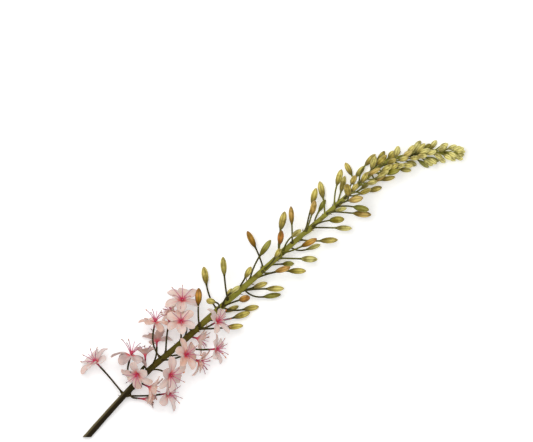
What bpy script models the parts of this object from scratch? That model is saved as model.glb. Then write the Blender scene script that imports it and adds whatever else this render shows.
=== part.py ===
"""Foxtail lily (Eremurus): one cut flower spike lying on a surface, modelled in metres with +Z up.

Places are plan millimetres, x to the right and y down as the spike is seen from above. place() turns
them so that the line from the cut end to the tip runs along +X, with the origin under the spike's middle.
"""
import math
import random

import bmesh
import bpy
from mathutils import Matrix, Vector

MM = 0.001
CHORD_ANGLE = math.radians(37.0)
PLAN_MIDDLE = (263.2, 280.2)

# The stem: plan place, height of its axis above the surface, and radius.
STEM_ROUTE = [
    (83.0, 441.5, 3.9, 3.5),
    (100.0, 422.0, 6.0, 3.2),
    (124.0, 395.5, 13.0, 3.1),
    (150.4, 368.7, 20.0, 3.15),
    (182.5, 341.5, 24.0, 3.1),
    (221.5, 306.5, 25.0, 3.0),
    (260.4, 272.5, 24.0, 2.85),
    (300.5, 236.3, 22.0, 2.6),
    (340.7, 201.5, 19.0, 2.3),
    (373.0, 171.5, 15.0, 2.0),
    (397.0, 158.0, 12.5, 1.65),
    (425.7, 152.3, 10.5, 1.3),
    (445.0, 153.0, 9.5, 1.0),
    (458.0, 154.0, 9.0, 0.7),
]
STEM_SIDES = 8
STEM_RINGS = 32
CUT_LINE_Y = 437.0
ROOT_SEARCH = 400

# A closed bud: where its stalk leaves the stem, the bud's base, its tip, its width, and +1 where it
# leans up from the stem, -1 where it leans down, or 0 where it lies level.
BUDS = [
    ((198.5, 325.0), (198.7, 304.0), (199.2, 287.5), 7.1, 1),
    ((215.6, 306.0), (206.4, 283.7), (203.8, 266.5), 6.7, -1),
    ((215.6, 306.0), (215.0, 301.5), (207.3, 299.8), 6.7, 1),
    ((227.1, 299.0), (224.5, 274.5), (223.1, 256.5), 6.7, 1),
    ((229.0, 297.0), (245.4, 277.4), (251.2, 266.5), 5.6, 1),
    ((263.5, 269.5), (255.2, 247.0), (247.2, 231.0), 6.7, -1),
    ((249.0, 281.0), (260.4, 255.0), (270.8, 239.8), 6.4, 0),
    ((222.0, 305.0), (231.5, 292.0), (240.0, 285.5), 5.0, 1),
    ((216.0, 308.0), (227.0, 297.0), (232.0, 288.5), 5.0, -1),
    ((221.0, 307.5), (239.9, 299.6), (249.7, 296.7), 7.1, 1),
    ((244.0, 287.0), (253.5, 287.5), (267.4, 282.6), 5.6, -1),
    ((240.0, 291.0), (267.0, 288.6), (284.2, 288.3), 6.7, 0),
    ((243.0, 288.5), (264.0, 296.7), (281.0, 294.3), 6.2, -1),
    ((222.0, 306.5), (244.0, 309.4), (258.9, 306.5), 6.2, -1),
    ((208.0, 319.0), (234.2, 317.4), (250.3, 312.2), 6.4, -1),
    ((197.0, 329.0), (226.7, 327.2), (243.4, 325.4), 5.8, -1),
    ((214.0, 313.5), (225.6, 311.7), (238.8, 305.9), 5.6, -1),
    ((279.0, 255.5), (280.5, 229.4), (284.8, 211.4), 7.1, -1),
    ((279.0, 255.5), (279.7, 243.8), (281.4, 230.3), 6.2, 1),
    ((291.7, 244.0), (291.7, 223.7), (290.8, 206.2), 5.8, 1),
    ((282.8, 252.0), (292.0, 236.3), (300.9, 229.7), 5.4, 1),
    ((263.3, 270.0), (275.3, 257.0), (280.0, 248.4), 5.2, 1),
    ((270.0, 263.5), (279.5, 253.5), (286.5, 247.0), 4.5, -1),
    ((282.0, 252.8), (301.8, 246.1), (316.7, 238.6), 6.0, 1),
    ((298.0, 238.5), (320.2, 240.8), (337.8, 239.8), 6.3, 0),
    ((290.0, 245.5), (307.9, 249.0), (320.4, 244.5), 4.9, -1),
    ((276.0, 258.5), (301.2, 258.7), (317.5, 259.3), 6.7, 0),
    ((267.0, 266.5), (282.8, 264.0), (294.0, 263.6), 5.6, -1),
    ((262.0, 271.0), (275.4, 271.4), (290.3, 266.8), 6.2, 1),
    ((251.0, 281.0), (288.8, 270.8), (306.0, 270.8), 6.7, -1),
    ((305.5, 231.5), (312.0, 203.5), (316.1, 188.0), 6.6, 0),
    ((305.5, 231.5), (311.3, 214.8), (314.8, 200.5), 6.7, 1),
    ((323.7, 216.0), (323.0, 197.8), (319.6, 181.2), 6.6, -1),
    ((314.0, 224.0), (319.0, 211.0), (325.5, 199.5), 4.9, -1),
    ((334.2, 207.0), (336.7, 185.0), (341.3, 169.4), 6.7, 1),
    ((336.0, 205.5), (340.8, 191.6), (344.9, 175.8), 6.0, -1),
    ((339.0, 203.0), (348.0, 195.7), (346.4, 184.5), 7.7, 1),
    ((351.0, 192.0), (351.5, 174.8), (345.2, 162.6), 5.8, -1),
    ((356.0, 187.0), (356.0, 176.3), (364.3, 166.1), 5.5, -1),
    ((346.5, 196.0), (351.0, 184.0), (355.0, 176.0), 6.0, 1),
    ((344.0, 198.5), (351.5, 191.0), (357.0, 184.5), 5.4, 1),
    ((350.0, 193.0), (361.5, 188.5), (369.0, 183.0), 5.0, -1),
    ((348.0, 195.0), (359.2, 194.0), (370.4, 189.1), 5.5, 1),
    ((352.0, 191.0), (368.8, 191.0), (381.9, 187.2), 5.8, -1),
    ((336.0, 205.5), (348.6, 200.8), (362.5, 197.9), 7.2, 1),
    ((334.0, 207.0), (353.6, 207.0), (368.5, 210.0), 7.0, 1),
    ((329.0, 211.0), (353.4, 213.3), (371.2, 214.9), 7.0, -1),
    ((326.0, 214.0), (335.5, 210.5), (346.2, 208.2), 4.5, 1),
    ((311.0, 227.0), (329.6, 220.4), (343.9, 219.1), 7.1, 1),
    ((311.0, 227.0), (336.0, 227.9), (351.8, 228.4), 6.0, -1),
    ((360.0, 183.5), (365.2, 165.3), (375.4, 154.1), 6.0, -1),
    ((363.0, 181.0), (371.0, 168.8), (375.0, 156.7), 6.0, 1),
    ((370.0, 174.0), (376.8, 164.8), (384.4, 151.0), 5.9, -1),
    ((368.0, 176.0), (376.5, 165.0), (386.0, 155.4), 5.9, 1),
    ((388.0, 162.0), (395.1, 156.8), (397.8, 146.5), 6.5, 1),
    ((382.0, 165.5), (388.4, 157.6), (394.6, 151.0), 5.8, -1),
    ((360.0, 183.5), (367.9, 175.1), (379.9, 168.4), 5.0, 1),
    ((373.0, 171.7), (381.3, 171.5), (391.5, 165.3), 5.9, 1),
    ((362.0, 182.0), (372.0, 181.5), (385.7, 175.5), 5.3, -1),
    ((371.0, 173.5), (381.7, 180.0), (395.1, 176.9), 5.3, -1),
    ((374.0, 171.0), (385.7, 174.0), (399.1, 170.2), 5.9, 1),
    ((386.0, 163.0), (400.0, 169.3), (411.2, 170.4), 5.3, -1),
    ((391.0, 160.5), (402.7, 164.7), (412.0, 166.2), 5.3, 1),
    ((396.0, 158.5), (407.6, 161.6), (416.5, 165.3), 5.9, -1),
    ((379.0, 167.5), (387.4, 163.7), (395.0, 159.5), 5.5, 1),
    ((390.0, 161.0), (398.7, 160.5), (407.6, 157.7), 5.5, 1),
    ((396.0, 158.5), (403.1, 156.3), (411.2, 151.4), 5.5, 1),
    ((404.0, 156.0), (412.9, 152.3), (420.5, 140.7), 6.6, -1),
    ((408.0, 154.5), (416.4, 152.0), (424.6, 143.8), 5.3, 1),
    ((411.0, 154.0), (418.9, 153.2), (429.0, 149.4), 5.3, 1),
    ((417.0, 153.0), (424.8, 149.0), (430.5, 144.0), 5.3, -1),
    ((423.0, 152.5), (430.4, 148.8), (436.4, 140.3), 5.3, -1),
    ((408.0, 154.5), (416.5, 156.6), (426.3, 156.0), 5.3, 1),
    ((419.0, 153.0), (427.0, 154.2), (435.5, 151.5), 5.3, 1),
    ((413.0, 153.5), (425.9, 158.0), (438.8, 161.3), 5.3, -1),
    ((407.0, 155.0), (418.8, 160.8), (428.6, 167.5), 5.3, -1),
    ((415.0, 153.5), (424.0, 160.0), (432.0, 165.7), 5.3, 1),
    ((420.0, 153.0), (428.6, 158.7), (436.0, 164.0), 5.3, 1),
    ((427.0, 152.5), (434.8, 154.2), (441.5, 158.6), 5.3, 1),
    ((429.0, 152.5), (438.4, 157.7), (445.1, 162.4), 5.3, -1),
    ((436.0, 152.5), (444.0, 155.4), (450.9, 159.2), 5.3, 1),
    ((431.0, 152.5), (437.9, 150.1), (445.0, 147.8), 5.3, 1),
    ((437.0, 152.5), (443.6, 149.9), (445.2, 143.0), 5.9, -1),
    ((441.0, 152.8), (448.2, 148.8), (456.7, 145.6), 4.8, -1),
    ((441.0, 152.8), (448.9, 153.0), (456.3, 156.9), 5.0, 1),
    ((443.0, 153.0), (449.0, 156.8), (455.5, 160.6), 4.8, -1),
    ((449.0, 153.4), (456.0, 151.3), (463.4, 148.3), 5.0, 1),
    ((450.0, 153.5), (457.0, 154.1), (464.3, 155.0), 5.0, -1),
    ((450.0, 153.5), (455.6, 156.9), (462.5, 159.4), 4.8, 1),
    ((352.0, 191.0), (361.0, 182.5), (367.0, 172.5), 5.4, 1),
    ((357.0, 186.0), (366.5, 184.0), (376.5, 181.5), 5.2, 1),
    ((366.0, 178.0), (377.0, 177.5), (388.0, 171.0), 5.4, 1),
    ((377.0, 169.0), (387.5, 169.5), (397.5, 164.5), 5.4, 1),
    ((384.0, 164.5), (394.0, 167.5), (404.0, 165.0), 5.3, 1),
    ((401.0, 157.0), (410.0, 158.5), (419.0, 158.0), 5.3, 1),
    ((399.0, 157.5), (407.5, 152.5), (414.0, 146.0), 5.4, 1),
    ((433.0, 152.5), (440.0, 146.8), (447.5, 144.2), 5.0, 1),
    ((446.0, 153.0), (453.5, 150.2), (460.5, 147.0), 4.8, 1),
    ((445.0, 153.0), (451.5, 154.8), (459.0, 158.5), 4.8, 1),
    ((452.0, 153.6), (457.5, 152.6), (464.8, 151.6), 4.6, 1),
]
# Along the stem, from 0 at the cut end to 1 at the tip: the length of a stalk and of a bud.
STALK_LENGTHS = [(0.0, 31.0), (0.36, 30.0), (0.45, 26.0), (0.71, 20.0), (0.81, 12.0), (0.9, 9.5), (1.0, 6.0)]
BUD_LENGTHS = [(0.0, 17.0), (0.66, 17.0), (0.82, 14.0), (0.9, 11.0), (1.0, 8.0)]
STALK_RADII = [(0.0, 1.0), (0.4, 0.95), (0.8, 0.75), (1.0, 0.55)]
# A bud past its foot: share of its length, and radius as a share of its width.
BUD_PROFILE = [(0.27, 0.51), (0.75, 0.46), (1.0, 0.0)]
FOOT_SWELL = 1.25
# How high a bud that lies on the surface is, as a share of its width.
LYING_HEIGHT = 0.53
BUD_SIDES = 6
SMALL_BUD_WIDTH = 6.1
SMALL_BUD_SIDES = 5

# Buds on the underside, where the stem hides them: they lie forward under the stem on the surface.
UNDER_FIRST = 0.40
UNDER_LAST = 0.93
UNDER_COUNT = 10
UNDER_SPREAD = 2.5
UNDER_SLIMNESS = 0.34
UNDER_LEAST_RUN = 3.0
UNDER_FOOT_HEIGHT = 0.64
UNDER_TIP_HEIGHT = 0.56
UNDER_SEED = 11

# An open bloom: where its stalk leaves the stem, the foot of its tube with its height, the compass
# direction it faces in the plan (0 is to the right, 90 up the plan), how far it looks up, its roll, how
# far it is open, and its size.
BLOOMS = [
    ((122.6, 393.0), (100.8, 366.9, 15.0), 132.0, 25.0, -30.0, 0.95, 1.08),
    ((137.0, 381.0), (129.8, 361.0, 35.0), 75.0, 8.0, 30.0, 1.45, 1.18),
    ((135.0, 384.0), (141.5, 369.0, 41.0), 232.0, 42.0, -20.0, 0.95, 1.02),
    ((124.5, 396.0), (160.5, 394.0, 22.0), 7.0, 20.0, -30.0, 1.0, 1.12),
    ((141.0, 379.0), (143.5, 383.5, 33.0), -25.0, 3.0, 0.0, 0.8, 1.05),
    ((144.0, 375.5), (165.5, 371.5, 41.0), -25.0, 38.0, 0.0, 1.0, 1.08),
    ((161.0, 359.5), (181.0, 355.8, 42.0), 20.0, 40.0, -30.0, 1.0, 1.0),
    ((150.0, 370.0), (192.5, 358.0, 20.5), -22.0, 4.0, 30.0, 0.9, 1.0),
    ((179.5, 345.0), (208.7, 349.0, 29.5), 3.0, 15.0, -30.0, 1.0, 0.95),
    ((199.0, 327.5), (212.3, 324.0, 37.5), 30.0, 30.0, -30.0, 1.05, 0.95),
    ((188.0, 337.0), (191.0, 336.5, 14.5), -15.0, 0.0, -30.0, 0.8, 0.95),
    ((181.5, 342.5), (181.5, 324.5, 42.0), 90.0, 60.0, 5.0, 1.0, 0.95),
    ((193.0, 332.0), (182.4, 305.0, 34.0), 88.0, 44.0, 0.0, 0.95, 1.08),
    ((184.0, 340.5), (179.2, 316.0, 24.0), 145.0, 8.0, -30.0, 0.7, 0.9),
    ((161.7, 358.5), (154.3, 328.5, 37.0), 80.0, 10.0, -30.0, 1.3, 1.0),
    ((166.3, 355.0), (168.6, 325.8, 17.0), 80.0, -40.0, -30.0, 0.45, 0.7),
    ((140.0, 378.0), (157.0, 347.2, 17.5), 90.0, -30.0, 22.0, 0.8, 0.95),
    ((147.0, 372.0), (145.8, 361.5, 27.0), 92.0, 0.0, 0.0, 0.55, 0.8),
    ((131.0, 388.0), (137.5, 398.0, 10.0), -6.0, 0.0, -30.0, 0.3, 0.82),
]
STALK_BEND = 0.5
BLOOM_STALK_RADIUS = 0.95
BLOOM_STALK_SIDES = 5
BLOOM_STALK_RINGS = 3
STALK_GAP = 0.3
STALK_END = 3.0

TUBE_LENGTH = 7.0
TUBE_SIDES = 6
# The tube from its foot, at minus its length, to the flat receptacle at 0: height and radius.
TUBE_PROFILE = [(-1.0, 0.85), (-0.25, 1.1), (0.0, 1.8)]

TEPALS = 6
TEPAL_LENGTH = 16.5
TEPAL_HALF_WIDTHS = [(0.0, 0.5), (0.4, 3.5), (0.775, 4.5), (1.0, 0.0)]
TEPAL_THICKNESS = 0.62
TEPAL_START = 1.0
TEPAL_SINK = 1.0
TEPAL_RISE = math.radians(30.0)
TEPAL_FALL = math.radians(-16.0)
TEPAL_SHUT = math.radians(62.0)
TEPAL_NARROW = 0.4
INNER_LIFT = math.radians(6.0)
TEPAL_CUP = 0.5
TEPAL_WAVE = 0.45
TIP_VARIES = 0.12
TURN_VARIES = 0.04
LENGTH_VARIES = (0.94, 1.05)
SPINE_STEPS = 40

STAMENS = 6
CORE_PROFILE = [(0.5, 0.8), (1.9, 1.6), (3.6, 1.0), (12.0, 0.38)]
CORE_SIDES = 6
STAMEN_SIDES = 3
STAMEN_SHUT = 0.7
LEAN_VARIES = (0.8, 1.1)
# A stamen: distance from the axis, height, and radius, from its root in the ovary to its anther's tip.
STAMEN_PROFILE = [(0.75, 2.2, 0.42), (8.2, 9.2, 0.42), (9.6, 10.0, 1.0), (11.0, 10.4, 0.0)]
BLOOM_SEED = 5

SLIVER = 0.002 * MM

STEM_GREEN = ("stem_green", (0.16, 0.15, 0.035, 1.0), 0.55)
TEPAL_PINK = ("tepal_pink", (0.83, 0.64, 0.60, 1.0), 0.6)
STAMEN_ROSE = ("stamen_rose", (0.62, 0.14, 0.26, 1.0), 0.5)


def place(x, y, height):
    """The point of the model, in metres, over a plan place in millimetres."""
    right = x - PLAN_MIDDLE[0]
    up = PLAN_MIDDLE[1] - y
    along = right * math.cos(CHORD_ANGLE) + up * math.sin(CHORD_ANGLE)
    across = up * math.cos(CHORD_ANGLE) - right * math.sin(CHORD_ANGLE)
    return Vector((along, across, height)) * MM


def between(table, where):
    """The value at a place along a table of (place, value) rows, on straight lines between the rows."""
    for (start, first), (end, second) in zip(table, table[1:]):
        if where <= end:
            return first + (second - first) * (where - start) / (end - start)
    return table[-1][1]


def stem_at(fraction):
    """The stem's plan place, height and radius on the smooth curve through its route."""
    reach = fraction * (len(STEM_ROUTE) - 1)
    index = min(int(reach), len(STEM_ROUTE) - 2)
    t = reach - index
    before = Vector(STEM_ROUTE[max(index - 1, 0)])
    start = Vector(STEM_ROUTE[index])
    end = Vector(STEM_ROUTE[index + 1])
    after = Vector(STEM_ROUTE[min(index + 2, len(STEM_ROUTE) - 1)])
    bend = (2 * before - 5 * start + 4 * end - after) * t * t
    turn = (3 * start - before - 3 * end + after) * t * t * t
    return (2 * start + (end - before) * t + bend + turn) * 0.5


def stem_root(x, y):
    """Where on the stem a stalk is rooted: the fraction along it and the point on its axis."""
    steps = [i / ROOT_SEARCH for i in range(ROOT_SEARCH + 1)]
    nearest = min(steps, key=lambda f: math.hypot(stem_at(f)[0] - x, stem_at(f)[1] - y))
    axis = stem_at(nearest)
    return nearest, place(axis[0], axis[1], axis[2])


def mesh_object(name, shape):
    """An object that holds the finished bmesh, with its faces turned out."""
    bmesh.ops.recalc_face_normals(shape, faces=shape.faces)
    mesh = bpy.data.meshes.new(name)
    shape.to_mesh(mesh)
    shape.free()
    thing = bpy.data.objects.new(name, mesh)
    bpy.context.scene.collection.objects.link(thing)
    return thing


def sweep(name, centres, radii, sides):
    """A closed body of rings round the centres; a last radius of 0 closes it in a point."""
    shape = bmesh.new()
    across = Vector((0.0, 0.0, 1.0))
    rings = []
    for i, (centre, radius) in enumerate(zip(centres, radii)):
        ahead = centres[min(i + 1, len(centres) - 1)] - centres[max(i - 1, 0)]
        ahead.normalize()
        if abs(ahead.dot(across)) > 0.98:
            across = Vector((1.0, 0.0, 0.0))
        across = (across - ahead * across.dot(ahead)).normalized()
        side = ahead.cross(across)
        if radius == 0.0:
            rings.append([shape.verts.new(centre)])
            continue
        turns = [2 * math.pi * k / sides for k in range(sides)]
        ring = [centre + (across * math.cos(a) + side * math.sin(a)) * radius for a in turns]
        rings.append([shape.verts.new(point) for point in ring])
    for ring, following in zip(rings, rings[1:]):
        for k in range(sides):
            after = (k + 1) % sides
            if len(following) == 1:
                shape.faces.new((ring[k], ring[after], following[0]))
            else:
                shape.faces.new((ring[k], ring[after], following[after], following[k]))
    shape.faces.new(rings[0])
    if len(rings[-1]) > 1:
        shape.faces.new(rings[-1])
    return mesh_object(name, shape)


def fuse(name, pieces):
    """One body from several that cross: a Boolean union on a collection, applied."""
    body = pieces[0]
    group = bpy.data.collections.new(name + "_group")
    for piece in pieces[1:]:
        group.objects.link(piece)
    union = body.modifiers.new("union", "BOOLEAN")
    union.operation = "UNION"
    union.operand_type = "COLLECTION"
    union.collection = group
    union.solver = "EXACT"
    evaluated = body.evaluated_get(bpy.context.evaluated_depsgraph_get())
    joined = bpy.data.meshes.new_from_object(evaluated)
    shape = bmesh.new()
    shape.from_mesh(joined)
    bmesh.ops.dissolve_degenerate(shape, dist=SLIVER, edges=shape.edges)
    bmesh.ops.triangulate(shape, faces=shape.faces)
    shape.to_mesh(joined)
    shape.free()
    body.modifiers.remove(union)
    body.data = joined
    for piece in pieces[1:]:
        bpy.data.objects.remove(piece)
    bpy.data.collections.remove(group)
    body.name = name
    joined.name = name
    return body


def paint(thing, look):
    """Give a node its material and smooth shading."""
    name, colour, roughness = look
    material = bpy.data.materials.get(name) or bpy.data.materials.new(name)
    material.use_nodes = True
    shader = material.node_tree.nodes["Principled BSDF"]
    shader.inputs["Base Color"].default_value = colour
    shader.inputs["Roughness"].default_value = roughness
    thing.data.materials.clear()
    thing.data.materials.append(material)
    thing.data.shade_smooth()
    thing.data.set_sharp_from_angle(angle=math.radians(40.0))


def make_stem():
    """The stem, swept along its route and cut off slanting at its lower end."""
    stations = [stem_at(i / STEM_RINGS) for i in range(STEM_RINGS + 1)]
    centres = [place(s[0], s[1], s[2]) for s in stations]
    stem = sweep("stem", centres, [s[3] * MM for s in stations], STEM_SIDES)
    shape = bmesh.new()
    shape.from_mesh(stem.data)
    on_cut = place(STEM_ROUTE[0][0], CUT_LINE_Y, 0.0)
    outward = place(0.0, 1.0, 0.0) - place(0.0, 0.0, 0.0)
    whole = shape.verts[:] + shape.edges[:] + shape.faces[:]
    bmesh.ops.bisect_plane(shape, geom=whole, plane_co=on_cut, plane_no=outward, clear_outer=True)
    bmesh.ops.holes_fill(shape, edges=[edge for edge in shape.edges if edge.is_boundary])
    bmesh.ops.recalc_face_normals(shape, faces=shape.faces)
    shape.to_mesh(stem.data)
    shape.free()
    return stem


def stalk_points(root, foot, facing, rings):
    """Points of a stalk that leaves its root and bends into the direction of what it carries."""
    bend = foot - facing * (foot - root).length * STALK_BEND
    steps = [i / (rings - 1) for i in range(rings)]
    return [root * (1 - t) ** 2 + bend * 2 * t * (1 - t) + foot * t ** 2 for t in steps]


def make_bud(name, root, foot, tip, width, stalk_radius):
    """A stalk and its bud as one swept body: slim along the stalk, swelling, and closing in a point."""
    facing = (tip - foot).normalized()
    small = width < SMALL_BUD_WIDTH
    stalk = stalk_points(root, foot, facing, 2 if small else 3)
    bud = [foot.lerp(tip, where) for where, _ in BUD_PROFILE]
    radii = [stalk_radius] * (len(stalk) - 1) + [stalk_radius * FOOT_SWELL]
    radii += [width * share for _, share in BUD_PROFILE]
    sides = SMALL_BUD_SIDES if small else BUD_SIDES
    return sweep(name, stalk + bud, [r * MM for r in radii], sides)


def seen_bud(index, row):
    """A bud that shows from above: what its plan length lacks is how far it leans up or down."""
    root_plan, foot_plan, tip_plan, width, lean = row
    where, root = stem_root(*root_plan)
    stalk_run = math.hypot(foot_plan[0] - root_plan[0], foot_plan[1] - root_plan[1])
    bud_run = math.hypot(tip_plan[0] - foot_plan[0], tip_plan[1] - foot_plan[1])
    stalk_rise = math.sqrt(max(between(STALK_LENGTHS, where) ** 2 - stalk_run ** 2, 0.0))
    bud_rise = math.sqrt(max(between(BUD_LENGTHS, where) ** 2 - bud_run ** 2, 0.0))
    foot_height = max(root.z / MM + lean * stalk_rise, width * LYING_HEIGHT)
    tip_height = max(foot_height + lean * bud_rise, width * LYING_HEIGHT)
    foot = place(foot_plan[0], foot_plan[1], foot_height)
    tip = place(tip_plan[0], tip_plan[1], tip_height)
    return make_bud(f"bud_{index}", root, foot, tip, width, between(STALK_RADII, where))


def hidden_bud(index, draw):
    """A bud under the stem: its stalk leads down and forward, and it lies on the surface."""
    where = UNDER_FIRST + (UNDER_LAST - UNDER_FIRST) * index / (UNDER_COUNT - 1)
    axis = stem_at(where)
    ahead = stem_at(where + 1 / ROOT_SEARCH) - axis
    heading = Vector((ahead[0], ahead[1])).normalized()
    length = between(BUD_LENGTHS, where)
    width = length * UNDER_SLIMNESS
    drop = axis[2] - width * UNDER_FOOT_HEIGHT
    run = math.sqrt(max(between(STALK_LENGTHS, where) ** 2 - drop ** 2, UNDER_LEAST_RUN ** 2))
    swerve = draw.uniform(-UNDER_SPREAD, UNDER_SPREAD)
    foot_plan = Vector((axis[0], axis[1])) + heading * run
    side = Vector((-heading[1], heading[0])) * swerve
    tip_plan = foot_plan + heading * length + side
    root = place(axis[0], axis[1], axis[2])
    foot = place(foot_plan[0], foot_plan[1], width * UNDER_FOOT_HEIGHT)
    tip = place(tip_plan[0], tip_plan[1], width * UNDER_TIP_HEIGHT)
    return make_bud(f"under_{index}", root, foot, tip, width, between(STALK_RADII, where))


def facing_of(direction, look_up):
    """The direction a bloom faces, from its compass direction in the plan and its angle upward."""
    compass = math.radians(direction) - CHORD_ANGLE
    rise = math.radians(look_up)
    level = math.cos(rise)
    return Vector((math.cos(compass) * level, math.sin(compass) * level, math.sin(rise)))


def bloom_stalk(index, row):
    """The stalk of an open bloom, ending just short of the foot of the bloom's tube."""
    root = stem_root(*row[0])[1]
    facing = facing_of(row[2], row[3])
    foot = place(*row[1]) - facing * STALK_GAP * MM
    points = stalk_points(root, foot - facing * STALK_END * MM, facing, BLOOM_STALK_RINGS) + [foot]
    radii = [BLOOM_STALK_RADIUS * MM] * len(points)
    return sweep(f"bloom_stalk_{index}", points, radii, BLOOM_STALK_SIDES)


def make_raceme():
    """Stem, stalks and closed buds, which grew as one piece."""
    draw = random.Random(UNDER_SEED)
    pieces = [make_stem()]
    pieces += [seen_bud(i, row) for i, row in enumerate(BUDS)]
    pieces += [hidden_bud(i, draw) for i in range(UNDER_COUNT)]
    pieces += [bloom_stalk(i, row) for i, row in enumerate(BLOOMS)]
    raceme = fuse("raceme", pieces)
    paint(raceme, STEM_GREEN)
    return raceme


def tepal_spine(length, start_angle, end_angle):
    """The tepal's middle line: distance from the axis and height at each of its rows, with its slope."""
    rows = [where for where, _ in TEPAL_HALF_WIDTHS]
    step = 1.0 / SPINE_STEPS
    out, up = TEPAL_START, -TEPAL_SINK
    found = [(out, up, start_angle)]
    for i in range(SPINE_STEPS):
        t = (i + 1) * step
        slope = start_angle + (end_angle - start_angle) * t
        out += math.cos(slope) * length * step
        up += math.sin(slope) * length * step
        if any(abs(t - row) < step * 0.5 for row in rows[1:]):
            found.append((out, up, slope))
    return found


def make_tepal(name, angle, size, openness, lift, draw):
    """One tepal: a thin pointed blade, cupped along its middle, with a slightly waved edge."""
    shut = (1.0 - openness) * TEPAL_SHUT
    broad = size * (1.0 - max(1.0 - openness, 0.0) * TEPAL_NARROW)
    start_angle = TEPAL_RISE + shut + lift
    end_angle = TEPAL_FALL + shut + lift + draw.uniform(-TIP_VARIES, TIP_VARIES)
    outward = Vector((math.cos(angle), math.sin(angle), 0.0))
    sideways = Vector((-math.sin(angle), math.cos(angle), 0.0))
    upward = Vector((0.0, 0.0, 1.0))
    shape = bmesh.new()
    top, bottom = [], []
    spine = tepal_spine(TEPAL_LENGTH * size, start_angle, end_angle)
    for (where, half_width), (out, up, slope) in zip(TEPAL_HALF_WIDTHS, spine):
        normal = upward * math.cos(slope) - outward * math.sin(slope)
        middle = outward * out + upward * up
        half = normal * TEPAL_THICKNESS * 0.5
        points = [middle]
        if half_width > 0.0:
            left_lift, right_lift = [
                (TEPAL_CUP + draw.uniform(-TEPAL_WAVE, TEPAL_WAVE)) * where for _ in range(2)
            ]
            left = middle + sideways * half_width * broad + normal * left_lift
            right = middle - sideways * half_width * broad + normal * right_lift
            points = [left, middle, right]
        top.append([shape.verts.new((point + half) * MM) for point in points])
        bottom.append([shape.verts.new((point - half) * MM) for point in points])
    for sheet in (top, bottom):
        for row, following in zip(sheet, sheet[1:]):
            if len(following) == 1:
                shape.faces.new((row[0], row[1], following[0]))
                shape.faces.new((row[1], row[2], following[0]))
                continue
            for a, b in ((0, 1), (2, 1)):
                shape.faces.new((row[a], row[b], following[b]))
                shape.faces.new((row[a], following[b], following[a]))
    rim = [(row[0], low[0]) for row, low in zip(top, bottom)]
    rim += [(row[-1], low[-1]) for row, low in reversed(list(zip(top, bottom))[:-1])]
    rim.append((top[0][1], bottom[0][1]))
    for (high, low), (next_high, next_low) in zip(rim, rim[1:] + rim[:1]):
        shape.faces.new((high, next_high, next_low))
        shape.faces.new((high, next_low, low))
    return mesh_object(name, shape)


def make_tepals(name, size, openness, draw):
    """The tube, the receptacle and six tepals, the inner three a little steeper than the outer."""
    centres = [Vector((0.0, 0.0, TUBE_LENGTH * z)) * MM for z, _ in TUBE_PROFILE]
    pieces = [sweep(name + "_tube", centres, [r * MM for _, r in TUBE_PROFILE], TUBE_SIDES)]
    for k in range(TEPALS):
        angle = 2 * math.pi * (k + 0.5) / TEPALS + draw.uniform(-TURN_VARIES, TURN_VARIES)
        lift = INNER_LIFT if k % 2 else -INNER_LIFT
        length = size * draw.uniform(*LENGTH_VARIES)
        pieces.append(make_tepal(f"{name}_{k}", angle, length, openness, lift, draw))
    tepals = fuse(name, pieces)
    paint(tepals, TEPAL_PINK)
    return tepals


def make_stamens(name, size, openness, draw):
    """The ovary with its style, and six stamens that spread from its foot."""
    scale = size * MM
    centres = [Vector((0.0, 0.0, z)) * scale for z, _ in CORE_PROFILE]
    pieces = [sweep(name + "_core", centres, [r * MM for _, r in CORE_PROFILE], CORE_SIDES)]
    for k in range(STAMENS):
        angle = 2 * math.pi * (k + 0.5) / STAMENS + draw.uniform(-TURN_VARIES, TURN_VARIES)
        spread = 1.0 - max(1.0 - openness, 0.0) * STAMEN_SHUT
        lean = draw.uniform(*LEAN_VARIES)
        outward = Vector((math.cos(angle), math.sin(angle), 0.0))
        upward = Vector((0.0, 0.0, 1.0))
        root = STAMEN_PROFILE[0][0]
        points = []
        for out, up, _ in STAMEN_PROFILE:
            points.append((outward * (root + (out - root) * spread * lean) + upward * up) * scale)
        radii = [radius * MM for _, _, radius in STAMEN_PROFILE]
        pieces.append(sweep(f"{name}_{k}", points, radii, STAMEN_SIDES))
    stamens = fuse(name, pieces)
    paint(stamens, STAMEN_ROSE)
    return stamens


def make_bloom(number, row, draw):
    """An open bloom, modelled upright round its receptacle and then turned to face its direction."""
    _, foot, direction, look_up, roll, openness, size = row
    facing = facing_of(direction, look_up)
    level = Vector((0.0, 0.0, 1.0)).cross(facing).normalized()
    turned = Matrix((level, facing.cross(level), facing)).transposed()
    turned = turned @ Matrix.Rotation(math.radians(roll), 3, "Z")
    tepals = make_tepals(f"bloom_{number:02d}_tepals", size, openness, draw)
    stamens = make_stamens(f"bloom_{number:02d}_stamens", size, openness, draw)
    for piece in (tepals, stamens):
        piece.rotation_euler = turned.to_euler()
        piece.location = place(*foot) + facing * TUBE_LENGTH * MM


def main():
    for thing in list(bpy.data.objects):
        bpy.data.objects.remove(thing)
    make_raceme()
    draw = random.Random(BLOOM_SEED)
    for number, row in enumerate(BLOOMS, start=1):
        make_bloom(number, row, draw)


main()
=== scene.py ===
"""Foxtail lily: one cut flower spike that lies on a white table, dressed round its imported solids.

Lengths are in metres. Places along the spike are plan millimetres, x to the right and y down as the
spike is seen from above, and place() turns them into the model's own frame.
"""

import random
from math import atan2, cos, exp, hypot, pi, radians, sin, sqrt

import bmesh
import bpy
from mathutils import Matrix, Vector


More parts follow.
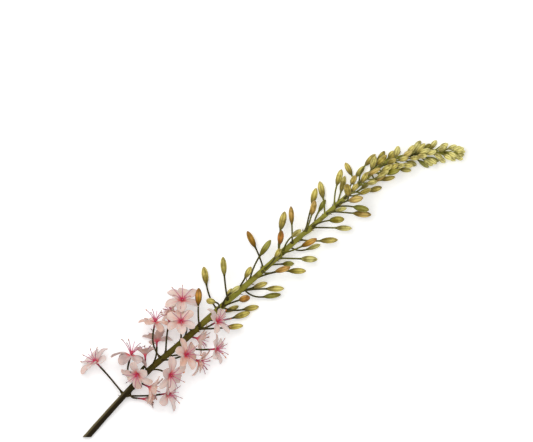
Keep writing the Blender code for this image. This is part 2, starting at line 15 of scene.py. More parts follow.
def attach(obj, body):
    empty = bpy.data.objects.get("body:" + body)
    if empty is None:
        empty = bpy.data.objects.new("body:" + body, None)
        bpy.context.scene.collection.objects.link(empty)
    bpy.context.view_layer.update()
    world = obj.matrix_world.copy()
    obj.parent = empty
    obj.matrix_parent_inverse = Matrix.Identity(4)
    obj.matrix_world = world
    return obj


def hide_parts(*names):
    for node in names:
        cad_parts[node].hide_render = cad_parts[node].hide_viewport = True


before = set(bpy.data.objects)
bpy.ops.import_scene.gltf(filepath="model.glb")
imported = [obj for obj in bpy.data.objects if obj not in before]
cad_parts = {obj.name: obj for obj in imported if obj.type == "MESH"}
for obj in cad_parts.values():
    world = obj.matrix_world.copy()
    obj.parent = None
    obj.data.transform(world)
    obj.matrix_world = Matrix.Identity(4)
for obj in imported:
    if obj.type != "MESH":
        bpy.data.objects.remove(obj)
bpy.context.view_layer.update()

# Table, light and camera.
# The spike lies on a white light table, in soft light from the upper left, so its shadows stay faint.
# The camera looks straight down on it through a long lens, and one picture point is one millimetre.
MM = 0.001
CHORD_ANGLE = radians(37.0)
# The plan places under the model's origin and in the middle of the picture.
PLAN_MIDDLE = (263.2, 280.2)
PICTURE_MIDDLE = (266.5, 221.0)
PICTURE_WIDTH = 533.0
CAMERA_HEIGHT = 8000.0
SENSOR = 36.0
CLIP_END = 100.0
TABLE_SIZE = 60.0
TABLE_GLOW = 0.26
# The lamp's plan place and height in millimetres, its side in metres, and its power in watts.
LAMP_PLACE = (60.0, 20.0, 1500.0)
LAMP_SIDE = 0.75
LAMP_POWER = 12.5
ROOM_LIGHT = 0.5
WHITE = (1.0, 1.0, 1.0, 1.0)


def place(x, y, height):
    """The point of the model, in metres, over a plan place in millimetres."""
    right = x - PLAN_MIDDLE[0]
    up = PLAN_MIDDLE[1] - y
    along = right * cos(CHORD_ANGLE) + up * sin(CHORD_ANGLE)
    across = up * cos(CHORD_ANGLE) - right * sin(CHORD_ANGLE)
    return Vector((along, across, height)) * MM


def deselect():
    """Nothing is selected, so that the next operator works on its own piece alone."""
    if bpy.context.object and bpy.context.object.mode != "OBJECT":
        bpy.ops.object.mode_set(mode="OBJECT")
    bpy.ops.object.select_all(action="DESELECT")


def put_in(name, data):
    """A new object in the scene."""
    made = bpy.data.objects.new(name, data)
    bpy.context.scene.collection.objects.link(made)
    return made


def tone(red, green, blue):
    """A shader colour from the 0 to 255 values of a picture."""
    shares = [value / 255.0 for value in (red, green, blue)]
    linear = [s / 12.92 if s <= 0.04045 else ((s + 0.055) / 1.055) ** 2.4 for s in shares]
    return (*linear, 1.0)


def finish_of(name, roughness, **values):
    """A new material, with its tree and its shader set to values that are the same all over."""
    material = bpy.data.materials.new(name)
    material.use_nodes = True
    shader = material.node_tree.nodes["Principled BSDF"]
    shader.inputs["Roughness"].default_value = roughness
    for socket, value in values.items():
        shader.inputs[socket.replace("_", " ")].default_value = value
    return material, material.node_tree, shader


deselect()
bpy.ops.mesh.primitive_plane_add(size=TABLE_SIZE)
table = bpy.context.object
table.name = "table"
table_white, tree, shader = finish_of(
    "table_white", 0.85, Base_Color=tone(250, 250, 250), Emission_Color=WHITE, Emission_Strength=TABLE_GLOW
)
table.data.materials.append(table_white)

middle = place(*PICTURE_MIDDLE, 0.0)
lens = bpy.data.cameras.new("camera")
lens.sensor_width = SENSOR
lens.lens = SENSOR * CAMERA_HEIGHT / PICTURE_WIDTH
lens.clip_end = CLIP_END
camera = put_in("camera", lens)
camera.location = middle + Vector((0.0, 0.0, CAMERA_HEIGHT * MM))
camera.rotation_euler = (0.0, 0.0, -CHORD_ANGLE)
bpy.context.scene.camera = camera

window = bpy.data.lights.new("window", "AREA")
window.energy = LAMP_POWER
window.size = LAMP_SIDE
lamp = put_in("window", window)
lamp.location = place(*LAMP_PLACE)
lamp.rotation_euler = (middle - lamp.location).to_track_quat("-Z", "Y").to_euler()
world = bpy.data.worlds.new("room_light")
world.use_nodes = True
room = world.node_tree.nodes["Background"].inputs
room["Color"].default_value = WHITE
room["Strength"].default_value = ROOM_LIGHT
bpy.context.scene.world = world
bpy.context.scene.view_settings.view_transform = "Standard"

# The stem.
# One round stalk, green above and dark and woody toward its cut end, with fine ribs along it. It grew
# in one sweep with the arch of the spike, and it was cut off slanting at its lower end.
# A row: its plan place, its height and its radius, from the cut end to the tip.
STEM_ROUTE = [
    (83, 441.5, 3.9, 3.5), (100, 422, 6, 3.2), (124, 395.5, 13, 3.1), (150.4, 368.7, 20, 3.15),
    (182.5, 341.5, 24, 3.1), (221.5, 306.5, 25, 3), (260.4, 272.5, 24, 2.85), (300.5, 236.3, 22, 2.6),
    (340.7, 201.5, 19, 2.3), (373, 171.5, 15, 2), (397, 158, 12.5, 1.65), (425.7, 152.3, 10.5, 1.3),
    (445, 153, 9.5, 1), (458, 154, 9, 0.7),
]
STEM_RIBS = 13
RIB_SIDES = 3
RIB_DEPTH = 0.93
STEM_RINGS = 160
STEM_CREASE = radians(50.0)
THICKNESS_VARIES = 0.045
THICKNESS_SEED = 3
CUT_LINE_Y = 437.0


def stem_at(fraction):
    """The stem's plan place, height and radius on the smooth curve through its route."""
    reach = fraction * (len(STEM_ROUTE) - 1)
    index = min(int(reach), len(STEM_ROUTE) - 2)
    t = reach - index
    before = Vector(STEM_ROUTE[max(index - 1, 0)])
    start = Vector(STEM_ROUTE[index])
    end = Vector(STEM_ROUTE[index + 1])
    after = Vector(STEM_ROUTE[min(index + 2, len(STEM_ROUTE) - 1)])
    bend = (2 * before - 5 * start + 4 * end - after) * t * t
    turn = (3 * start - before - 3 * end + after) * t * t * t
    return (2 * start + (end - before) * t + bend + turn) * 0.5


def line(name, splines):
    """A curve object through points, with a radius at each, one spline for each list of points."""
    curve = bpy.data.curves.new(name, "CURVE")
    curve.dimensions = "3D"
    for points in splines:
        spline = curve.splines.new("POLY")
        spline.points.add(len(points) - 1)
        for spot, (point, radius) in zip(spline.points, points):
            spot.co = (*point, 1.0)
            spot.radius = radius
    return put_in(name, curve)


def edit_all():
    """Edit mode begins, with all of the piece selected."""
    bpy.ops.object.mode_set(mode="EDIT")
    bpy.ops.mesh.select_all(action="SELECT")


def pull_up(height):
    """The chosen faces are extruded upward."""
    bpy.ops.mesh.extrude_region_move(TRANSFORM_OT_translate={"value": (0.0, 0.0, height)})


def choose(thing, wanted):
    """The vertices whose place passes a test are selected, with what lies between them."""
    bpy.ops.mesh.select_all(action="DESELECT")
    shape = bmesh.from_edit_mesh(thing.data)
    for vertex in shape.verts:
        vertex.select = wanted(vertex.co)
    shape.select_flush(True)
    bmesh.update_edit_mesh(thing.data)


def every(step, sides):
    """A test that the corners of every so many sides of a round shape pass."""
    turn = 2 * pi / sides
    return lambda spot: round(atan2(spot.y, spot.x) / turn) % step == 0


def resize(x, y, z):
    """What is chosen is scaled from the origin."""
    bpy.ops.transform.resize(value=(x, y, z), center_override=(0.0, 0.0, 0.0))


def leave_shape():
    """All faces point outward, and edit mode ends."""
    bpy.ops.mesh.select_all(action="SELECT")
    bpy.ops.mesh.normals_make_consistent(inside=False)
    bpy.ops.object.mode_set(mode="OBJECT")


def keep_rest(thing):
    """Each vertex keeps where it was, in millimetres, before the piece is bent: its pattern reads that."""
    kept = thing.data.attributes.new("rest", "FLOAT_VECTOR", "POINT")
    for vertex, spot in zip(thing.data.vertices, kept.data):
        spot.vector = vertex.co / MM


def select(*things):
    """Only these pieces are selected, and the first is active."""
    deselect()
    for thing in things:
        thing.select_set(True)
    bpy.context.view_layer.objects.active = things[0]


def apply_all(thing):
    """Every modifier of a piece is made part of its mesh."""
    select(thing)
    for modifier in list(thing.modifiers):
        bpy.ops.object.modifier_apply(modifier=modifier.name)


def wire(kind, inputs, **settings):
    """A node of the last material made, with its inputs set to values or fed by other nodes."""
    made = tree.nodes.new("ShaderNode" + kind)
    for name, value in settings.items():
        setattr(made, name, value)
    for key, value in inputs.items():
        if isinstance(value, bpy.types.NodeSocket):
            tree.links.new(value, made.inputs[key])
        else:
            made.inputs[key].default_value = value
    return made


def ramp(factor, *stops):
    """A colour that runs through stops of (place, red, green, blue) as its factor goes from 0 to 1."""
    made = wire("ValToRGB", {"Fac": factor})
    stripes = made.color_ramp.elements
    while len(stripes) < len(stops):
        stripes.new(0.5)
    for stripe, (where, *colour) in zip(stripes, stops):
        stripe.position = where
        stripe.color = tone(*colour)
    return made.outputs["Color"]


def mixed(factor, first, second):
    """Two colours mixed by a factor."""
    return wire("Mix", {0: factor, 6: first, 7: second}, data_type="RGBA").outputs[2]


def ranged(value, low, high, start=0.0, end=1.0):
    """A number that goes smoothly from start to end while a value goes from low to high."""
    inputs = {"Value": value, "From Min": low, "From Max": high, "To Min": start, "To Max": end}
    return wire("MapRange", inputs, interpolation_type="SMOOTHSTEP").outputs[0]


def laid_over(under, value, low, high, most, over):
    """A colour with another laid over it, at most by a share, as a value goes from low to high."""
    return mixed(ranged(value, low, high, 0.0, most), under, over)


def times(first, second):
    """The product of two numbers."""
    return wire("Math", {0: first, 1: second}, operation="MULTIPLY").outputs[0]


def rest_axes():
    """The place that keep_rest kept, as its X, Y and Z."""
    kept = wire("Attribute", {}, attribute_name="rest")
    return wire("SeparateXYZ", {0: kept.outputs["Vector"]}).outputs


def streaks(scale, detail=3.0):
    """Noise read on the kept place, stretched by a scale for each of its axes."""
    kept = wire("Attribute", {}, attribute_name="rest")
    spread = wire("Mapping", {"Vector": kept.outputs["Vector"], "Scale": scale})
    return wire("TexNoise", {"Vector": spread.outputs[0], "Scale": 1.0, "Detail": detail}).outputs[0]


def patches(scale, detail=2.0):
    """Noise over the whole spike, so that neighbouring pieces differ."""
    spots = wire("TexCoord", {}).outputs["Object"]
    return wire("TexNoise", {"Vector": spots, "Scale": scale, "Detail": detail}).outputs[0]


def paint(colour):
    """The material takes its colour from a node."""
    tree.links.new(colour, shader.inputs["Base Color"])


def rough(height, strength, depth):
    """A bump on the material's surface."""
    bump = wire("Bump", {"Height": height, "Strength": strength, "Distance": depth * MM})
    tree.links.new(bump.outputs[0], shader.inputs["Normal"])


deselect()
bpy.ops.mesh.primitive_circle_add(vertices=STEM_RIBS * RIB_SIDES, radius=1.0, fill_type="NGON")
stem = bpy.context.object
stem.name = "stem"
edit_all()
pull_up(1.0)
shape = bmesh.from_edit_mesh(stem.data)
for edge in shape.edges:
    edge.select = abs(edge.verts[0].co.z - edge.verts[1].co.z) > 0.5
shape.select_flush(False)
bpy.ops.mesh.select_mode(type="EDGE")
bpy.ops.mesh.subdivide(number_cuts=STEM_RINGS - 1)
bpy.ops.mesh.select_mode(type="VERT")
choose(stem, every(RIB_SIDES, STEM_RIBS * RIB_SIDES))
resize(RIB_DEPTH, RIB_DEPTH, 1.0)
leave_shape()

draw = random.Random(THICKNESS_SEED)
route = []
for step in range(STEM_RINGS + 1):
    x, y, height, radius = stem_at(step / STEM_RINGS)
    swell = 1.0 + draw.uniform(-THICKNESS_VARIES, THICKNESS_VARIES)
    route.append((place(x, y, height), radius * swell * MM))
stem_line = line("stem_line", [route])
stem_line.data.use_stretch = True
stem_line.data.use_deform_bounds = True
stem_length = sum((b[0] - a[0]).length for a, b in zip(route, route[1:]))
stem.data.transform(Matrix.Diagonal((1.0, 1.0, stem_length, 1.0)))
keep_rest(stem)
follow = stem.modifiers.new("along_route", "CURVE")
follow.object = stem_line
follow.deform_axis = "POS_Z"
apply_all(stem)
bpy.data.objects.remove(stem_line)
edit_all()
cut_point = place(STEM_ROUTE[0][0], CUT_LINE_Y, 0.0)
downward = (place(0.0, 1.0, 0.0) - place(0.0, 0.0, 0.0)).normalized()
bpy.ops.mesh.bisect(plane_co=cut_point, plane_no=downward, use_fill=True, clear_outer=True)
bpy.ops.object.mode_set(mode="OBJECT")
bpy.ops.object.shade_smooth_by_angle(angle=STEM_CREASE)

# The stem was a metre in radius before its route thinned it, so across it the kept place reaches 1000.
stem_skin, tree, shader = finish_of("stem_skin", 0.6, Specular_IOR_Level=0.1)
axes = rest_axes()
length_share = times(axes["Z"], MM / stem_length)
ground = ramp(
    length_share, (0.0, 32, 23, 7), (0.13, 32, 24, 6), (0.2, 70, 60, 12), (0.33, 94, 86, 16),
    (0.4, 144, 140, 50), (0.62, 154, 150, 60), (1.0, 164, 162, 72)
)
fibre = streaks((2.2, 2.2, 0.055))
young = ranged(length_share, 0.12, 0.36, 0.15, 1.0)
bright = times(ranged(fibre, 0.5, 0.72, 0.0, 0.45), young)
light_fibre = mixed(bright, ground, tone(168, 160, 84))
dark_fibre = laid_over(light_fibre, fibre, 0.5, 0.34, 0.6, tone(34, 26, 8))
blotch = times(ranged(patches(130.0), 0.54, 0.68, 0.0, 0.5), young)
blotched = mixed(blotch, dark_fibre, tone(84, 62, 26))
# Near the cut end one side of the stem is painted lighter, as a painted highlight on its lit side.
one_side = ranged(axes["X"], 100.0, 800.0, 0.0, 0.75)
lit_side_share = times(one_side, ranged(length_share, 0.1, 0.17, 1.0, 0.0))
paint(mixed(lit_side_share, blotched, tone(124, 112, 78)))
rough(fibre, 0.35, 0.25)
stem.data.materials.append(stem_skin)
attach(stem, "root")
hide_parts("raceme")

# The stalks of the buds.
# Thin green stalks, one to a bud, dark and wiry low down and fresher toward the tip. Each grew out of
# the stem with a small swelling at its root and bends into the direction of its bud.
# A row: where its stalk leaves the stem, the bud's base, its tip, its width, +1 where it leans up
# from the stem, -1 where it leans down or 0 where it lies level, and its look if it isn't olive.
BUDS = [
    (198.5, 325, 198.7, 304, 199.2, 287.5, 7.1, 1, "brown"),
    (215.6, 306, 206.4, 283.7, 203.8, 266.5, 6.7, -1),
    (215.6, 306, 215, 301.5, 207.3, 299.8, 6.7, 1),
    (227.1, 299, 224.5, 274.5, 223.1, 256.5, 6.7, 1),
    (229, 297, 245.4, 277.4, 251.2, 266.5, 5.6, 1),
    (263.5, 269.5, 255.2, 247, 247.2, 231, 6.7, -1, "brown"),
    (249, 281, 260.4, 255, 270.8, 239.8, 6.4, 0, "green"),
    (222, 305, 231.5, 292, 240, 285.5, 5, 1, "pale"),
    (216, 308, 227, 297, 232, 288.5, 5, -1),
    (221, 307.5, 239.9, 299.6, 249.7, 296.7, 7.1, 1, "brown"),
    (244, 287, 253.5, 287.5, 267.4, 282.6, 5.6, -1),
    (240, 291, 267, 288.6, 284.2, 288.3, 6.7, 0),
    (243, 288.5, 264, 296.7, 281, 294.3, 6.2, -1, "green"),
    (222, 306.5, 244, 309.4, 258.9, 306.5, 6.2, -1),
    (208, 319, 234.2, 317.4, 250.3, 312.2, 6.4, -1),
    (197, 329, 226.7, 327.2, 243.4, 325.4, 5.8, -1),
    (214, 313.5, 225.6, 311.7, 238.8, 305.9, 5.6, -1),
    (279, 255.5, 280.5, 229.4, 284.8, 211.4, 7.1, -1),
    (279, 255.5, 279.7, 243.8, 281.4, 230.3, 6.2, 1, "red"),
    (291.7, 244, 291.7, 223.7, 290.8, 206.2, 5.8, 1, "tan"),
    (282.8, 252, 292, 236.3, 300.9, 229.7, 5.4, 1, "pale"),
    (263.3, 270, 275.3, 257, 280, 248.4, 5.2, 1),
    (270, 263.5, 279.5, 253.5, 286.5, 247, 4.5, -1, "pale"),
    (282, 252.8, 301.8, 246.1, 316.7, 238.6, 6, 1, "brown"),
    (298, 238.5, 320.2, 240.8, 337.8, 239.8, 6.3, 0),
    (290, 245.5, 307.9, 249, 320.4, 244.5, 4.9, -1, "pale"),
    (276, 258.5, 301.2, 258.7, 317.5, 259.3, 6.7, 0, "pale"),
    (267, 266.5, 282.8, 264, 294, 263.6, 5.6, -1, "green"),
    (262, 271, 275.4, 271.4, 290.3, 266.8, 6.2, 1, "tan"),
    (251, 281, 288.8, 270.8, 306, 270.8, 6.7, -1),
    (305.5, 231.5, 312, 203.5, 316.1, 188, 6.6, 0),
    (305.5, 231.5, 311.3, 214.8, 314.8, 200.5, 6.7, 1, "tan"),
    (323.7, 216, 323, 197.8, 319.6, 181.2, 6.6, -1),
    (314, 224, 319, 211, 325.5, 199.5, 4.9, -1, "green"),
    (334.2, 207, 336.7, 185, 341.3, 169.4, 6.7, 1),
    (336, 205.5, 340.8, 191.6, 344.9, 175.8, 6, -1),
    (339, 203, 348, 195.7, 346.4, 184.5, 7.7, 1),
    (351, 192, 351.5, 174.8, 345.2, 162.6, 5.8, -1),
    (356, 187, 356, 176.3, 364.3, 166.1, 5.5, -1),
    (346.5, 196, 351, 184, 355, 176, 6, 1),
    (344, 198.5, 351.5, 191, 357, 184.5, 5.4, 1),
    (350, 193, 361.5, 188.5, 369, 183, 5, -1, "pale"),
    (348, 195, 359.2, 194, 370.4, 189.1, 5.5, 1),
    (352, 191, 368.8, 191, 381.9, 187.2, 5.8, -1),
    (336, 205.5, 348.6, 200.8, 362.5, 197.9, 7.2, 1, "tan"),
    (334, 207, 353.6, 207, 368.5, 210, 7, 1, "green"),
    (329, 211, 353.4, 213.3, 371.2, 214.9, 7, -1, "tan"),
    (326, 214, 335.5, 210.5, 346.2, 208.2, 4.5, 1, "pale"),
    (311, 227, 329.6, 220.4, 343.9, 219.1, 7.1, 1, "dark"),
    (311, 227, 336, 227.9, 351.8, 228.4, 6, -1, "yellow"),
    (360, 183.5, 365.2, 165.3, 375.4, 154.1, 6, -1),
    (363, 181, 371, 168.8, 375, 156.7, 6, 1, "yellow"),
    (370, 174, 376.8, 164.8, 384.4, 151, 5.9, -1, "dark"),
    (368, 176, 376.5, 165, 386, 155.4, 5.9, 1),
    (388, 162, 395.1, 156.8, 397.8, 146.5, 6.5, 1, "yellow"),
    (382, 165.5, 388.4, 157.6, 394.6, 151, 5.8, -1),
    (360, 183.5, 367.9, 175.1, 379.9, 168.4, 5, 1, "tan"),
    (373, 171.7, 381.3, 171.5, 391.5, 165.3, 5.9, 1, "yellow"),
    (362, 182, 372, 181.5, 385.7, 175.5, 5.3, -1, "tan"),
    (371, 173.5, 381.7, 180, 395.1, 176.9, 5.3, -1),
    (374, 171, 385.7, 174, 399.1, 170.2, 5.9, 1, "green"),
    (386, 163, 400, 169.3, 411.2, 170.4, 5.3, -1),
    (391, 160.5, 402.7, 164.7, 412, 166.2, 5.3, 1),
    (396, 158.5, 407.6, 161.6, 416.5, 165.3, 5.9, -1, "yellow"),
    (379, 167.5, 387.4, 163.7, 395, 159.5, 5.5, 1),
    (390, 161, 398.7, 160.5, 407.6, 157.7, 5.5, 1),
    (396, 158.5, 403.1, 156.3, 411.2, 151.4, 5.5, 1, "tan"),
    (404, 156, 412.9, 152.3, 420.5, 140.7, 6.6, -1, "yellow"),
    (408, 154.5, 416.4, 152, 424.6, 143.8, 5.3, 1),
    (411, 154, 418.9, 153.2, 429, 149.4, 5.3, 1, "yellow"),
    (417, 153, 424.8, 149, 430.5, 144, 5.3, -1, "dark"),
    (423, 152.5, 430.4, 148.8, 436.4, 140.3, 5.3, -1),
    (408, 154.5, 416.5, 156.6, 426.3, 156, 5.3, 1, "tan"),
    (419, 153, 427, 154.2, 435.5, 151.5, 5.3, 1),
    (413, 153.5, 425.9, 158, 438.8, 161.3, 5.3, -1, "green"),
    (407, 155, 418.8, 160.8, 428.6, 167.5, 5.3, -1, "green"),
    (415, 153.5, 424, 160, 432, 165.7, 5.3, 1, "pale"),
    (420, 153, 428.6, 158.7, 436, 164, 5.3, 1),
    (427, 152.5, 434.8, 154.2, 441.5, 158.6, 5.3, 1, "yellow"),
    (429, 152.5, 438.4, 157.7, 445.1, 162.4, 5.3, -1),
    (436, 152.5, 444, 155.4, 450.9, 159.2, 5.3, 1),
    (431, 152.5, 437.9, 150.1, 445, 147.8, 5.3, 1, "yellow"),
    (437, 152.5, 443.6, 149.9, 445.2, 143, 5.9, -1),
    (441, 152.8, 448.2, 148.8, 456.7, 145.6, 4.8, -1),
    (441, 152.8, 448.9, 153, 456.3, 156.9, 5, 1, "yellow"),
    (443, 153, 449, 156.8, 455.5, 160.6, 4.8, -1),
    (449, 153.4, 456, 151.3, 463.4, 148.3, 5, 1),
    (450, 153.5, 457, 154.1, 464.3, 155, 5, -1, "yellow"),
    (450, 153.5, 455.6, 156.9, 462.5, 159.4, 4.8, 1),
    (352, 191, 361, 182.5, 367, 172.5, 5.4, 1),
    (357, 186, 366.5, 184, 376.5, 181.5, 5.2, 1, "yellow"),
    (366, 178, 377, 177.5, 388, 171, 5.4, 1, "yellow"),
    (377, 169, 387.5, 169.5, 397.5, 164.5, 5.4, 1),
    (384, 164.5, 394, 167.5, 404, 165, 5.3, 1, "yellow"),
    (401, 157, 410, 158.5, 419, 158, 5.3, 1),
    (399, 157.5, 407.5, 152.5, 414, 146, 5.4, 1),
    (433, 152.5, 440, 146.8, 447.5, 144.2, 5, 1, "yellow"),
    (446, 153, 453.5, 150.2, 460.5, 147, 4.8, 1, "yellow"),
    (445, 153, 451.5, 154.8, 459, 158.5, 4.8, 1, "pale"),
    (452, 153.6, 457.5, 152.6, 464.8, 151.6, 4.6, 1, "yellow"),
]
# Along the stem, from 0 at the cut end to 1 at the tip: the length of a stalk and of a bud.
STALK_LENGTHS = [(0, 31), (0.36, 30), (0.45, 26), (0.71, 20), (0.81, 12), (0.9, 9.5), (1, 6)]
BUD_LENGTHS = [(0, 17), (0.66, 17), (0.82, 14), (0.9, 11), (1, 8)]
STALK_RADII = [(0, 1), (0.4, 0.95), (0.8, 0.75), (1, 0.55)]
STALK_BEND = 0.5
STALK_STEPS = 12
# Where in a stalk's first step two more points lie, for a round swelling at its root.
ROOT_POINTS = (0.33, 0.66)
STALK_FACETS = 2
STALK_CREASE = radians(60.0)
STALK_INTO_BUD = 0.3
ROOT_SEARCH = 400
# How high a bud that lies on the table is, as a share of its width.
LYING_HEIGHT = 0.56
# Along a stalk past the stem's surface, in millimetres: how much thicker than its own radius it is.
ROOT_SWELL = [(0, 1.9), (0.8, 1.75), (2.2, 1.15), (4, 0.95), (40, 0.95)]
FOOT_SWELL = [(0, 1.35), (0.8, 1.2), (2, 0.95), (40, 0.95)]
# Buds on the underside, where the stem hides them: they lie forward under the stem on the table.
UNDER_FIRST = 0.4
UNDER_LAST = 0.93
UNDER_COUNT = 10
UNDER_SPREAD = 2.5
UNDER_SLIMNESS = 0.34
UNDER_LEAST_RUN = 3.0
UNDER_FOOT_HEIGHT = 0.64
UNDER_SEED = 11
MERGED = 0.01 * MM
# Half the spike's length in metres, over which its stalks freshen.
SPIKE_REACH = 0.24


def between(rows, where):
    """The value at a place along rows of (place, value), on straight lines between them."""
    for (start, first), (end, second) in zip(rows, rows[1:]):
        if where <= end:
            return first + (second - first) * (where - start) / (end - start)
    return rows[-1][1]


STEM_STEPS = [stem_at(i / ROOT_SEARCH) for i in range(ROOT_SEARCH + 1)]


def stem_root(x, y):
    """Where on the stem a stalk is rooted: the share along it, the point on its axis and its radius."""
    distances = [hypot(axis[0] - x, axis[1] - y) for axis in STEM_STEPS]
    nearest = distances.index(min(distances))
    axis = STEM_STEPS[nearest]
    return nearest / ROOT_SEARCH, place(*axis[:3]), axis[3]


def stalk_line(root, foot, facing, radius, stem_radius, steps=STALK_STEPS):
    """Points and radii of a stalk that leaves the stem's middle and bends into what it carries."""
    bend = foot - facing * (foot - root).length * STALK_BEND
    shares = [i / steps for i in range(steps + 1)]
    shares[1:1] = [shares[1] * share for share in ROOT_POINTS]
    points = [root * (1 - t) ** 2 + bend * 2 * t * (1 - t) + foot * t ** 2 for t in shares]
    found = []
    for point in points:
        past = (point - root).length / MM - stem_radius
        left = (foot - point).length / MM
        thicker = max(between(ROOT_SWELL, max(past, 0.0)), between(FOOT_SWELL, left))
        found.append((point, radius * thicker * MM))
    return found


def seen_bud(row):
    """A bud that shows from above: what its plan length lacks is how far it leans up or down."""
    root_x, root_y, foot_x, foot_y, tip_x, tip_y, width, lean, *named = row
    look = named[0] if named else "olive"
    where, root, stem_radius = stem_root(root_x, root_y)
    stalk_run = hypot(foot_x - root_x, foot_y - root_y)
    bud_run = hypot(tip_x - foot_x, tip_y - foot_y)
    stalk_rise = sqrt(max(between(STALK_LENGTHS, where) ** 2 - stalk_run ** 2, 0.0))
    bud_rise = sqrt(max(between(BUD_LENGTHS, where) ** 2 - bud_run ** 2, 0.0))
    foot_height = max(root.z / MM + lean * stalk_rise, width * LYING_HEIGHT)
    tip_height = max(foot_height + lean * bud_rise, width * LYING_HEIGHT)
    foot = place(foot_x, foot_y, foot_height)
    return where, root, stem_radius, foot, place(tip_x, tip_y, tip_height), width, look


def hidden_bud(index, draw):
    """A bud under the stem: its stalk leads down and forward, and it lies on the table."""
    where = UNDER_FIRST + (UNDER_LAST - UNDER_FIRST) * index / (UNDER_COUNT - 1)
    axis = stem_at(where)
    ahead = stem_at(where + 1 / ROOT_SEARCH) - axis
    heading = Vector((ahead[0], ahead[1])).normalized()
    length = between(BUD_LENGTHS, where)
    width = length * UNDER_SLIMNESS
    drop = axis[2] - width * UNDER_FOOT_HEIGHT
    run = sqrt(max(between(STALK_LENGTHS, where) ** 2 - drop ** 2, UNDER_LEAST_RUN ** 2))
    swerve = draw.uniform(-UNDER_SPREAD, UNDER_SPREAD)
    foot_plan = Vector((axis[0], axis[1])) + heading * run
    tip_plan = foot_plan + heading * length + Vector((-heading[1], heading[0])) * swerve
    foot = place(*foot_plan, width * UNDER_FOOT_HEIGHT)
    tip = place(*tip_plan, width * LYING_HEIGHT)
    return where, place(*axis[:3]), axis[3], foot, tip, width, "olive"


def tubes(name, lines):
    """One mesh of round closed tubes along lines of points."""
    made = line(name, lines)
    made.data.bevel_depth = 1.0
    made.data.bevel_resolution = STALK_FACETS
    made.data.use_fill_caps = True
    select(made)
    bpy.ops.object.convert(target="MESH")
    made = bpy.context.object
    edit_all()
    bpy.ops.mesh.remove_doubles(threshold=MERGED)
    leave_shape()
    bpy.ops.object.shade_smooth_by_angle(angle=STALK_CREASE)
    made.data.materials.clear()
    return made


draw = random.Random(UNDER_SEED)
all_buds = [seen_bud(row) for row in BUDS] + [hidden_bud(i, draw) for i in range(UNDER_COUNT)]
lines = []
for where, root, stem_radius, foot, tip, width, look in all_buds:
    facing = (tip - foot).normalized()
    end = foot + facing * STALK_INTO_BUD * MM
    lines.append(stalk_line(root, end, facing, between(STALK_RADII, where), stem_radius))
bud_stalks = tubes("bud_stalks", lines)

stalk_skin, tree, shader = finish_of("stalk_skin", 0.6, Specular_IOR_Level=0.1)
here_now = wire("TexCoord", {}).outputs["Object"]
along_spike = wire("SeparateXYZ", {0: here_now}).outputs["X"]
age = ramp(
    ranged(along_spike, -SPIKE_REACH, SPIKE_REACH),
    (0.0, 46, 36, 14), (0.45, 62, 58, 16), (0.62, 94, 92, 30), (1.0, 140, 140, 54)
)
grain = patches(900.0, 3.0)
ground = laid_over(age, patches(45.0), 0.46, 0.6, 0.75, tone(52, 42, 20))
paint(laid_over(ground, grain, 0.45, 0.75, 0.25, tone(146, 136, 60)))
rough(grain, 0.3, 0.2)
bud_stalks.data.materials.append(stalk_skin)
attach(bud_stalks, "root")
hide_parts("raceme")

# The closed buds.
# Plump pointed buds of six tepals folded together, olive and tan, each on the end of its stalk. Three
# outer tepals lap over three inner ones, so shallow furrows run from the foot to the tip.
BUD_SIDES = 12
BUD_FURROW = 0.87
# The share of a bud's length that has no furrows, at each end.
PLAIN_END = 0.01
# From its foot to its tip: height as a share of its length, and radius as a share of its width.
BUD_PROFILE = [
    (0.0, 0.16), (0.02, 0.21), (0.07, 0.3), (0.17, 0.41), (0.32, 0.51), (0.5, 0.55), (0.67, 0.52),
    (0.81, 0.42), (0.91, 0.28), (0.97, 0.15), (1.0, 0.05),
]
# How tan, how pale and how green a look is, and how much the buds of one look vary.
BUD_LOOKS = {
    "olive": (0.2, 0.35, 0.0), "brown": (0.9, 0.0, 0.0), "tan": (0.95, 0.35, 0.0),
    "red": (1.4, 0.0, 0.0), "green": (0.0, 0.25, 0.8), "pale": (0.1, 0.9, 0.35),
    "dark": (0.1, -0.3, 0.6), "yellow": (0.15, 0.75, 0.1),
}
TAN_VARIES = (-0.12, 0.12)
PALE_VARIES = (-0.15, 0.15)
GREEN_VARIES = (-0.05, 0.15)
PLUMPNESS = (0.96, 1.06)
BUD_SEED = 21
# From this share of the stem on, the buds are young, and how much paler they get toward the tip.
YOUNG_FROM = 0.7
YOUNG_PALE = 6.0


def turned(sides, profile, across, along):
    """A round shape in edit mode, pulled up from a disc through rows of (height, radius)."""
    deselect()
    bpy.ops.mesh.primitive_circle_add(vertices=sides, radius=profile[0][1] * across, fill_type="NGON")
    edit_all()
    bpy.ops.transform.translate(value=(0.0, 0.0, profile[0][0] * along))
    for (low, radius), (high, following) in zip(profile, profile[1:]):
        pull_up((high - low) * along)
        bpy.ops.transform.resize(value=(following / radius, following / radius, 1.0))
    return bpy.context.object


def round_off(thing):
    """A piece's corners are rounded once."""
    rounding = thing.modifiers.new("rounding", "SUBSURF")
    rounding.levels = rounding.render_levels = 1
    apply_all(thing)


def mark(thing, name, values):
    """A number kept at each vertex, which the piece's material reads."""
    thing.data.attributes.new(name, "FLOAT", "POINT").data.foreach_set("value", values)


def even(thing, name, value):
    """The same number kept at all of a piece's vertices."""
    mark(thing, name, [value] * len(thing.data.vertices))


def mark_height(thing):
    """Each vertex keeps its height over the piece's foot."""
    mark(thing, "height", [vertex.co.z for vertex in thing.data.vertices])


def marked(name):
    """The number that mark kept."""
    return wire("Attribute", {}, attribute_name=name).outputs["Fac"]


def copy_of(thing, matrix):
    """A copy with its own mesh, moved to its place."""
    made = put_in(thing.name, thing.data.copy())
    made.data.transform(matrix)
    return made


def join(name, parts):
    """One object from several."""
    select(*parts)
    bpy.ops.object.join()
    parts[0].name = name
    parts[0].data.name = name
    return parts[0]


